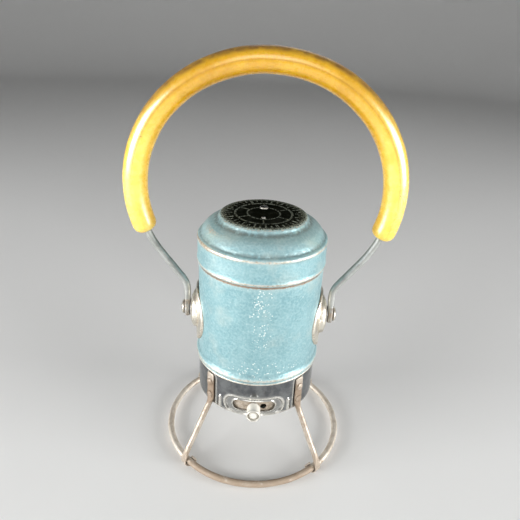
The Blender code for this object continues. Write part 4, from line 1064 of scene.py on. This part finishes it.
def make_leg_rivets():
    for corner, (azimuth, _) in LEG_CORNERS.items():
        for level, height in RIVET_HEIGHTS.items():
            node = "leg_rivet_" + corner + "_" + level
            seat = SKIRT_R + LEG_GAP + LEG_PLATE
            tail = SKIRT_R - SKIRT_WALL - 0.5
            outline = soften(
                [
                    (0.0, tail - 0.8), (2.5, tail - 0.7, 0.3), (2.5, tail, 0.2), (1.6, tail),
                    (1.6, seat), (2.75, seat, 0.2), (2.75, seat + 0.5, 0.5), (1.7, seat + 1.25, 0.8),
                    (0.0, seat + 1.45),
                ]
            )
            points = lathe_points(outline, 32, along="X", centre=(0.0, 0.0, height))
            out = points[:, 0] > seat
            points[out, 0] += uneven(points[out], 1.6, 0.34, azimuth + height)
            faces = grid_faces(len(outline), 32, False, True)
            placed = turned(points, azimuth)
            rivet = make_piece(node + "_head", "lantern", LEG_ZINC, placed, faces, node)
            reach = np.hypot(*vertex_array(rivet)[:, :2].T)
            rubbed = 0.75 if node.endswith("right_upper") else 0.25
            set_attribute(rivet, "grime_and_shade", 1.0 - rubbed * smooth_step(reach, seat, seat + 0.8))


# Ears and bail


def soft_plus(values, softness):
    """Nothing below zero and the value above it, with a rounded bend between."""
    return softness * np.logaddexp(0.0, values / softness)


def soft_max(a, b, softness):
    return a + soft_plus(b - a, softness)


def make_ear(name, side):
    """Pressed sheet: a round flange that follows the can, with a hollow boss in its middle."""
    angles = np.radians(np.arange(0.0, 360.0, 3.0))
    flange_r = 22.0
    face_r = 9.6
    boss_r = 14.0
    thick = 1.5
    seat_r = CAN_R + 0.3
    spans = ((3.0, 9.0, 8), (9.6, 17.0, 24), (17.6, flange_r, 12))
    outer_radii = np.concatenate([np.linspace(*span) for span in spans])
    inner_radii = outer_radii[::-2]
    rows = []
    for radii, on_face in ((outer_radii, True), (inner_radii, False)):
        for radius in radii:
            drop = -1.0 * float(smooth_step(np.array(radius), 14.5, flange_r))
            y = radius * np.cos(angles)
            up = radius * np.sin(angles) + drop
            saddle = np.sqrt((seat_r + (thick if on_face else 0.0)) ** 2 - y**2)
            back = 0.0 if on_face else thick
            boss = EAR_FACE_X - back - 0.46 * soft_plus(radius - face_r + 0.5 * back, 0.5)
            boss -= 9.0 * soft_plus(radius - boss_r + back, 0.16)
            x = soft_max(saddle, boss, 0.28)
            if on_face:
                x = x - 0.9 * max(0.0, (radius - flange_r + 1.3) / 1.3) ** 2.5
            rows.append(np.stack((side * x, y, EAR_Z + up), axis=1))
    points = np.array(rows).reshape(-1, 3)
    points[:, 0] += side * uneven(points, 7.0, 0.10, side + 4.0)
    points[:, 0] = np.clip(points[:, 0], -EAR_FACE_X, EAR_FACE_X)
    faces = grid_faces(len(rows), len(angles), True, True)
    ear = make_piece(name + "_pressing", "lantern", EAR_NICKEL, points, faces, name)
    points = vertex_array(ear)
    radius = np.hypot(points[:, 1], points[:, 2] - EAR_Z)
    grime_and_shade = 0.8 * bell(radius, 15.0, 0.9) + 0.4 * bell(radius, 7.0, 1.0) + 0.4 * bell(radius, flange_r, 1.0)
    set_attribute(ear, "grime_and_shade", grime_and_shade)


def make_ear_pivot(name, side):
    seat = BAIL_EYE_X + 2.3
    tail = EAR_FACE_X - 1.8
    outline = soften(
        [
            (0.0, tail - 1.2), (4.2, tail - 1.2, 0.3), (4.3, tail, 0.2), (2.7, tail), (2.7, seat),
            (5.1, seat, 0.25), (5.2, seat + 0.6, 0.5), (4.5, seat + 1.4, 0.9),
            (2.8, PIVOT_END_X - 0.25, 1.2), (1.2, PIVOT_END_X, 0.6), (0.0, PIVOT_END_X),
        ]
    )
    points = lathe_points(outline, 48, along="X", centre=(0.0, 0.0, EAR_Z))
    points[:, 0] -= np.abs(uneven(points, 2.4, 0.14, side + 9.0)) * (points[:, 0] > seat + 0.2)
    points[:, 0] *= side
    faces = grid_faces(len(outline), 48, False, True)
    pivot = make_piece(name + "_rivet", "lantern", EAR_NICKEL, points, faces, name)
    reach = np.abs(vertex_array(pivot)[:, 0])
    set_attribute(pivot, "grime_and_shade", 0.8 * (1.0 - smooth_step(reach, seat, seat + 0.7)))


def make_washer(name, side):
    low, high = WASHER_X
    outline = soften([(3.1, low, 0.1), (6.0, low, 0.2), (6.0, high, 0.2), (3.1, high, 0.1)], 3, closed=True)
    points = lathe_points(outline, 48, along="X", centre=(0.0, 0.0, EAR_Z))
    points[:, 0] *= side
    faces = grid_faces(len(outline), 48, True, True)
    washer = make_piece(name + "_ring", "bail", SPRING_STEEL, points, faces, name)
    set_attribute(washer, "grime_and_shade", np.ones(len(washer.data.vertices)))


def bail_curve(turns):
    """Points of the bail's oval; 0 degrees is on the right and 90 at the top."""
    turns = np.radians(np.atleast_1d(turns))
    up = EAR_Z + BAIL_CENTRE_UP + BAIL_HALF_HEIGHT * np.sin(turns)
    return np.stack((BAIL_HALF_WIDTH * np.cos(turns), 0.0 * turns, up), axis=1)


def bail_side(side):
    """(x, y, z) from the bottom of the eye up to where the oval curve starts."""
    end = math.radians(BAIL_CURVE_END)
    curve_x = BAIL_HALF_WIDTH * math.cos(end)
    curve_up = BAIL_CENTRE_UP - BAIL_HALF_HEIGHT * math.sin(end)
    lean = math.atan2(BAIL_HALF_WIDTH * math.sin(end), BAIL_HALF_HEIGHT * math.cos(end))
    corner_up = curve_up - (curve_x - BAIL_EYE_X) / math.tan(lean)
    bend_start = corner_up - BAIL_BEND_R * math.tan(lean / 2)
    eye = [(BAIL_EYE_X, up) for up in np.arange(-BAIL_EYE_R + 0.02, BAIL_EYE_R, 0.4)]
    neck = [(BAIL_EYE_X, up) for up in np.arange(BAIL_EYE_R, bend_start, 0.6)]
    bend = arc((BAIL_EYE_X + BAIL_BEND_R, bend_start), BAIL_BEND_R, 180.0, 180.0 - math.degrees(lean), 12)
    far = bend[-1]
    shares = (0.15, 0.3, 0.45, 0.6, 0.75, 0.9)
    straight = [(far[0] + (curve_x - far[0]) * t, far[1] + (curve_up - far[1]) * t) for t in shares]
    return [(side * x, 0.0, EAR_Z + up) for x, up in eye + neck + bend + straight]


def make_bail_wire():
    """Round wire whose ends are flattened and pierced for the ear pivots."""
    right = np.array(bail_side(1))
    left = np.array(bail_side(-1))[::-1]
    curve = bail_curve(np.linspace(-BAIL_CURVE_END, 180.0 + BAIL_CURVE_END, 130))
    path = np.concatenate((right, curve, left))
    up = path[:, 2] - EAR_Z
    eye = up < BAIL_EYE_R + 6.0
    disc = 2.0 * np.sqrt(np.maximum(BAIL_EYE_R**2 - up**2, 0.0))
    neck = soft_max(disc, 2.0 * BAIL_WIRE * smooth_step(up, -6.0, 2.0), 0.35)
    widths = np.maximum(np.where(eye, neck, 2.0 * BAIL_WIRE), 0.4)
    flat = 1.0 - smooth_step(up, 4.5, 11.0)
    edge = np.clip((BAIL_EYE_R + up) / 2.2, 0.0, 1.0)
    thicks = 2.0 * BAIL_WIRE - flat * 0.85
    thicks = np.where(up < 0.0, thicks * np.sqrt(1.0 - (1.0 - edge) ** 2 * 0.92), thicks)
    powers = 2.0 + 1.1 * flat
    sides = 28
    rings = sweep_points(path, widths, thicks, powers, (0.0, 1.0, 0.0), sides)
    points = rings.reshape(-1, 3)
    away = np.where(points[:, 2] > EAR_Z + 12.0, 1.0, 0.35)
    points[:, 1] += uneven(points, 3.5, 0.12, 2.0) * away
    points, faces = capped(points, len(rings), sides)
    wire = make_piece("bail_rod", "bail", BAIL_STEEL, points, faces, "bail_wire")
    hole_r = 3.0
    ends = (BAIL_EYE_X - 8.0, BAIL_EYE_X + 8.0)
    for side, word in ((-1, "left"), (1, "right")):
        place = {"along": "X", "centre": (0.0, 0.0, EAR_Z)}
        cut_round_hole(wire, "eye_cutter_" + word, hole_r, *ends, 32, side, **place)
    z = vertex_array(wire)[:, 2]
    grime_and_shade = 0.9 * (1.0 - smooth_step(z, EAR_Z + 4.0, EAR_Z + 12.0)) + 0.5 * bell(z, EAR_Z + 56.0, 4.0)
    set_attribute(wire, "grime_and_shade", grime_and_shade)


def make_grip():
    """Moulded round the bail, with rounded ends, a bore for the wire and two faint mould seams."""
    length_per_degree = math.radians(1.0) * (BAIL_HALF_WIDTH + BAIL_HALF_HEIGHT) / 2
    end_r = 5.7
    reach = end_r / length_per_degree
    closing = np.array([-GRIP_END + reach * (1.0 - math.cos(t)) for t in np.linspace(0.0, math.pi / 2, 12)])
    middle = np.linspace(closing[-1], 180.0 - closing[-1], 190)[1:-1]
    turns = np.concatenate((closing, middle, 180.0 - closing[::-1]))
    from_end = np.minimum(turns + GRIP_END, 180.0 + GRIP_END - turns) * length_per_degree
    path = bail_curve(turns + GRIP_TURN)
    inside = np.clip(1.0 - from_end / end_r, 0.0, 1.0)
    core = GRIP_R - end_r + 0.9
    radii = core + (GRIP_R - core) * np.sqrt(1.0 - inside**2)
    sides = 56
    first, second = path_frames(path, (0.0, 1.0, 0.0))
    section = np.linspace(0.0, 2.0 * np.pi, sides, endpoint=False)

    def ring(i, radius):
        across = (radius * np.cos(section))[:, None] * first[i]
        return path[i] + across + (radius * np.sin(section))[:, None] * second[i]

    outer = []
    for i in range(len(path)):
        seam = np.zeros(sides)
        for place in (0.12, math.pi - 0.12):
            seam = np.maximum(seam, bell((section - place + np.pi) % (2.0 * np.pi) - np.pi, 0.0, 0.055))
        radius = radii[i] + 0.14 * seam * (radii[i] > GRIP_R - 0.6)
        outer.append(ring(i, radius))
    bore = BAIL_WIRE + 0.2
    inner = [ring(i, bore) for i in range(len(path) - 1, -1, -1)]
    points = np.concatenate((np.array(outer).reshape(-1, 3), np.array(inner).reshape(-1, 3)))
    count = len(path) * sides
    middle_points = np.repeat(path, sides, axis=0)
    out = (points[:count] - middle_points) / GRIP_R
    points[:count] += out * (uneven(points[:count], 18.0, 0.22, 6.0) - 0.12)[:, None]
    faces = grid_faces(2 * len(path), sides, True, True)
    grip = make_piece("moulded_grip", "bail", GRIP_PLASTIC, points, faces, "bail_grip")
    points = vertex_array(grip)
    centre = np.array([0.0, 0.0, EAR_Z + BAIL_CENTRE_UP])
    flat = points - centre
    spread = np.hypot(flat[:, 0] / BAIL_HALF_WIDTH, flat[:, 2] / BAIL_HALF_HEIGHT)
    outward = (spread - 1.0) * BAIL_HALF_HEIGHT / GRIP_R
    top = smooth_step(flat[:, 2], 25.0, 75.0)
    inner_edge = 1.0 - smooth_step(outward, -1.0, -0.35)
    # Deeper amber and dark smears toward the top and the inner edges: partly ageing and grime, partly painted
    # shade.
    set_attribute(grip, "aged_and_shaded", 0.9 * smooth_step(flat[:, 2], 15.0, 70.0) + 0.6 * inner_edge)
    grime_and_shade = 1.5 * smooth_step(outward, 0.50, 0.98) * top + 0.12 * top + 0.15 * inner_edge
    set_attribute(grip, "grime_and_shade", grime_and_shade)
    seam_line = bell(outward, 0.12, 0.045) * (np.abs(points[:, 1]) > 0.9 * GRIP_R)
    set_attribute(grip, "seam", seam_line * (0.35 + 0.65 * smooth_step(flat[:, 2], -40.0, 30.0)))


# Selector


def make_selector():
    """The hollow-ended knob and the rivet through its middle."""
    end = KNOB_END
    shoulder = SKIRT_R + 0.4
    knob_r = KNOB_R
    knob = soften(
        [
            (2.3, SKIRT_R - 1.9), (3.2, SKIRT_R - 1.9, 0.1), (3.2, shoulder, 0.2),
            (knob_r - 0.6, shoulder, 0.4), (knob_r - 0.25, shoulder + 0.8, 0.5),
            (knob_r - 0.3, end - 2.6, 0.8), (knob_r, end - 1.9, 0.4), (knob_r, end - 0.6, 0.5),
            (knob_r - 0.5, end, 0.4), (knob_r - 0.95, end - 0.3, 0.25), (knob_r - 1.0, end - 1.9),
            (2.3, end - 1.9),
        ],
        5,
        closed=True,
    )
    rivet = soften(
        [
            (0.0, SKIRT_R - 4.3), (2.6, SKIRT_R - 4.1, 0.4), (2.8, SKIRT_R - 3.3, 0.2),
            (2.0, SKIRT_R - 3.3), (2.0, end - 1.6), (3.1, end - 1.6, 0.1), (3.1, end - 0.9, 0.35),
            (2.2, end - 0.55, 0.7), (0.0, end - 0.5),
        ],
        5,
    )
    look = ("selector", "knob_nickel", KNOB_NICKEL)
    place = {"along": "-Y", "centre": (0.0, 0.0, KNOB_Z)}
    for node, outline, closed in (("selector_knob", knob, True), ("knob_rivet", rivet, False)):
        piece = lathe_piece(node + "_turned", *look, even_out(outline, 1.2), 64, node, closed, **place)
        x, y, z = vertex_array(piece).T
        y = -y
        radius = np.hypot(x, z - KNOB_Z)
        # Darker where the knob leaves the skirt and round the rivet head in the recess of its end face; the
        # dark ring in that recess is painted shade.
        if node == "knob_rivet":
            grime_and_shade = 0.9 * bell(y, end - 1.4, 0.7)
        else:
            grime_and_shade = 0.9 * (1.0 - smooth_step(y, 43.0, 45.5))
            grime_and_shade += 0.9 * bell(y, end - 1.9, 0.5) * (radius < knob_r - 0.7)
        set_attribute(piece, "grime_and_shade", grime_and_shade)
        # Pale rim on the barrel's end and the rivet's middle: partly rubbed bright, partly a painted
        # highlight.
        barrel = 1.0 - smooth_step(y, end - 2.2, end - 0.8)
        set_attribute(piece, "polish_and_highlight", barrel * (radius > knob_r - 0.7) + 0.6 * (radius < 2.0))


# Underside: reflector and lamps


def make_reflector():
    """Silvered bowl, open in the middle for the main lamp and pierced for the spare one."""
    neck = 6.2
    rim_r = 38.6
    depth = REFLECTOR_TOP - 0.4 - REFLECTOR_LOW - 1.2
    bowl = []
    for r in np.linspace(rim_r - 1.0, neck, 40):
        share = (r - neck) / (rim_r - 1.0 - neck)
        bowl.append((r, REFLECTOR_TOP - 0.7 - depth * share**2.1))
    outer = [(r + 0.05, z + 0.7) for r, z in bowl]
    lip = [(rim_r + out, REFLECTOR_LOW + up) for out, up in ((-0.2, 0.0), (0.2, 0.6), (-0.2, 1.6))]
    outline = bowl[::-1] + lip + outer
    dish = lathe_piece("reflector_dish", "lantern", "reflector_silver", SILVER, outline, 128, "reflector")
    hole_r = 6.4
    cut_round_hole(dish, "spare_lamp_cutter", hole_r, 48.0, 66.0, 40, centre=(0.0, SPARE_LAMP_Y, 0.0))
    set_attribute(dish, "grime_and_shade", np.zeros(len(dish.data.vertices)))


def make_socket(node, y):
    """A pressed brass screw shell with a rolled mouth and rolled threads."""
    pitch = 1.8
    low = SOCKET_LOW
    top = SOCKET_TOP
    outside = [(5.15, low + 0.15, 0.1), (5.5, low, 0.3), (5.9, low + 0.3, 0.3)]
    thread_z = np.arange(low + 0.9, 56.4, 0.25)
    threads = [(5.62 + 0.22 * math.cos(2.0 * math.pi * (z - low) / pitch), z) for z in thread_z]
    if node == "main_lamp_socket":
        collars = [(5.6, 56.9), (7.2, 56.9, 0.2), (7.2, 57.6, 0.2), (5.7, 57.6), (5.7, 58.9)]
        collars += [(9.0, 58.9, 0.2), (9.0, 59.6, 0.2), (5.7, 59.6)]
    else:
        collars = []
    flange = [(5.7, top - 0.7), (8.5, top - 0.7, 0.2), (8.5, top, 0.2)]
    bore_z = np.arange(top - 1.0, low + 0.5, -0.25)
    bore = [(4.98 + 0.16 * math.cos(2.0 * math.pi * (z - low) / pitch), z) for z in bore_z]
    outline = soften(outside + threads + collars + flange + [(5.0, top)] + bore, 3, closed=True)
    lathe_piece(node + "_shell", "lantern", "brass", BRASS, outline, 64, node, centre=(0.0, y, 0.0))


def make_lamp_glass(node, y):
    """A thin blown envelope, open at its neck."""
    globe_r = 5.55
    wall = 0.35
    middle = LAMP_LOW + globe_r + 0.02
    outer = arc((0.0, middle), globe_r, -90.0, 44.0, 26)
    outer[0] = (0.0, middle - globe_r)
    neck = [(3.75, middle + 4.8), (3.7, middle + 5.8)]
    inner = [(3.7 - wall, middle + 5.8), (3.75 - wall, middle + 4.8)]
    hollow = arc((0.0, middle), globe_r - wall, 44.0, -90.0, 26)
    hollow[-1] = (0.0, middle - globe_r + wall)
    outline = outer + neck + inner + hollow
    points = lathe_points(outline, 56, centre=(0.0, y, 0.0))
    faces = grid_faces(len(outline), 56, False, True)
    make_piece(node + "_envelope", "lantern", GLASS, points, faces, node)


def make_filament(name, y):
    """Two support wires in a glass bead, with a fine coiled filament between their tips."""
    middle = LAMP_LOW + 5.6
    parts = []
    for side in (-1, 1):
        stations = ((1.0, 6.4), (1.0, 3.4), (1.9, -0.2))
        parts.append((np.array([(side * out, y, middle + up) for out, up in stations]), 0.16, 8))
    turns = 14
    coil = []
    for i in range(turns * 8 + 1):
        angle = 2.0 * math.pi * i / 8
        share = i / (turns * 8)
        dip = 0.5 * math.sin(math.pi * share)
        x = -1.9 + 3.8 * share
        coil.append((x, y + 0.22 * math.cos(angle), middle - 0.2 - dip + 0.22 * math.sin(angle)))
    parts.append((np.array(coil), 0.07, 6))
    bead = np.array([(x, y, middle + 3.9) for x in (-1.5, -0.75, 0.0, 0.75, 1.5)])
    parts.append((bead, 0.5, 12))
    points = []
    faces = []
    for path, radius, sides in parts:
        size = np.full(len(path), 2.0 * radius)
        rings = sweep_points(path, size, size, np.full(len(path), 2.0), (0.0, 1.0, 0.3), sides)
        part_points, part_faces = capped(rings.reshape(-1, 3), len(rings), sides)
        shift = len(points)
        points += list(part_points)
        faces += [tuple(index + shift for index in face) for face in part_faces]
    make_piece(name, "lantern", SPRING_STEEL, points, faces)


# Inside the can


def make_battery():
    """A rounded square case with a rolled rim, turned so that its corners face front, back and sides."""
    half_width = 33.5
    corner_r = 18.4
    middle = half_width - corner_r
    side_layers = [
        (BATTERY_LOW, 1.6), (BATTERY_LOW + 0.5, 0.6), (BATTERY_LOW + 1.8, 0.0),
        (BATTERY_LOW + 5.0, 0.25), (BATTERY_LOW + 40.0, 0.30), (BATTERY_TOP - 22.0, 0.25),
        (BATTERY_TOP - 6.0, 0.30), (BATTERY_TOP - 4.6, 0.05), (BATTERY_TOP - 2.6, 0.1),
        (BATTERY_TOP - 0.9, 1.1), (BATTERY_TOP - 0.2, 2.2), (BATTERY_TOP - 0.5, 3.2),
        (BATTERY_TOP - 2.2, 3.8), (BATTERY_TOP - 2.4, 6.0),
    ]
    rows = []
    for z, inset in side_layers:
        row = []
        for corner in range(4):
            start = 90.0 * corner
            turn = math.radians(start + 45.0)
            reach = middle * math.sqrt(2.0)
            centre = (reach * math.cos(turn), reach * math.sin(turn))
            row += [(x, y, z) for x, y in arc(centre, corner_r - inset, start, start + 90.0, 14)]
        rows.append(turned(np.array(row), 45.0))
    points, faces = capped(np.array(rows).reshape(-1, 3), len(rows), len(rows[0]))
    make_piece("battery_jacket_case", "lantern", JACKET, points, faces, "battery_case")


def dress_inner_nodes():
    """Pieces whose own shape is right keep it, with softened edges and a material."""
    looks = {"contact_board": FIBRE, "selector_arm": DUSTY_FIBRE}
    looks |= dict.fromkeys(("centre_contact", "corner_contact", "main_lamp_base", "spare_lamp_base"), BRASS)
    springs = ("battery_centre_spring", "battery_corner_spring", "cover_spring")
    looks |= dict.fromkeys(springs, SPRING_STEEL)
    for node, material in looks.items():
        obj = frame["nodes"][node]
        obj.data.materials.clear()
        obj.data.materials.append(material)
        bevel = obj.modifiers.new("soft_edges", "BEVEL")
        bevel.width = 0.12 * MM
        bevel.segments = 2
        bevel.limit_method = "ANGLE"
        bevel.angle_limit = math.radians(40.0)


# Stage, light and camera


def make_stage():
    """A pale floor that curves up into a low wall all round."""
    profile = [(0.001, 0.0), (1.0, 0.0), (2.2, 0.0)] + arc((2.2, 1.1), 1.1, -84.0, 0.0, 14) + [(3.3, 1.7)]
    segments = 96
    points = lathe_points([(r / MM, z / MM) for r, z in profile], segments)
    mesh = bpy.data.meshes.new("studio_floor")
    faces = [face[::-1] for face in grid_faces(len(profile), segments, False, True)]
    mesh.from_pydata((points * MM).tolist(), [], faces + [tuple(range(segments))])
    mesh.shade_smooth()
    mesh.materials.append(floor_material())
    add_object("studio_floor", mesh)
    world = bpy.data.worlds.new("studio")
    world.use_nodes = True
    background = world.node_tree.nodes["Background"].inputs
    background["Color"].default_value = (0.86, 0.87, 0.88, 1.0)
    background["Strength"].default_value = 0.09
    bpy.context.scene.world = world


def add_softbox(name, place, target, width, height, watts):
    light = bpy.data.lights.new(name, "AREA")
    light.shape = "RECTANGLE"
    light.size = width
    light.size_y = height
    light.energy = watts
    lamp = add_object(name, light)
    lamp.location = place
    lamp.rotation_euler = (Vector(target) - Vector(place)).to_track_quat("-Z", "Y").to_euler()


def make_lights():
    middle = (0.0, 0.0, 0.14)
    add_softbox("left_softbox", (-1.13, -0.63, 0.33), middle, 0.93, 0.60, 25.5)
    add_softbox("right_softbox", (1.20, -0.51, 0.33), middle, 0.93, 0.60, 24.0)
    add_softbox("front_fill", (0.0, -1.1, 0.80), middle, 0.7, 0.5, 3.0)
    add_softbox("back_fill", (0.25, 1.2, 1.15), middle, 0.9, 0.6, 1.5)


def make_camera():
    """Stands in front of the lantern, above it, looking down at about 26 degrees."""
    camera_data = bpy.data.cameras.new("camera")
    camera_data.sensor_width = 36.0
    camera_data.lens = 35.03
    camera_data.clip_start = 0.01
    camera = add_object("camera", camera_data)
    yaw, pitch, roll = (math.radians(angle) for angle in (-0.17, 25.96, 2.94))
    place = Vector((0.0, -0.3164, 0.3009))
    forward = Vector((math.sin(yaw) * math.cos(pitch), math.cos(yaw) * math.cos(pitch), -math.sin(pitch)))
    level = Vector((math.cos(yaw), -math.sin(yaw), 0.0))
    upright = level.cross(forward)
    right = level * math.cos(roll) + upright * math.sin(roll)
    up = upright * math.cos(roll) - level * math.sin(roll)
    matrix = Matrix((right, up, -forward)).transposed().to_4x4()
    matrix.translation = place
    camera.matrix_world = matrix
    bpy.context.scene.camera = camera
    bpy.context.scene.view_settings.view_transform = "Standard"


def main():
    make_camera()
    make_stage()
    make_lights()
    make_can()
    make_cover()
    make_cover_rivets()
    make_skirt()
    make_base_ring()
    make_legs()
    make_leg_rivets()
    for word, side in (("left", -1), ("right", 1)):
        make_ear("ear_" + word, side)
        make_ear_pivot("ear_pivot_" + word, side)
        make_washer("bail_washer_" + word, side)
    make_bail_wire()
    make_grip()
    make_selector()
    make_reflector()
    for prefix, y in (("main_lamp", 0.0), ("spare_lamp", SPARE_LAMP_Y)):
        make_socket(prefix + "_socket", y)
        make_lamp_glass(prefix + "_glass", y)
        make_filament(prefix + "_filament", y)
    make_battery()
    dress_inner_nodes()


main()
bpy.context.view_layer.update()
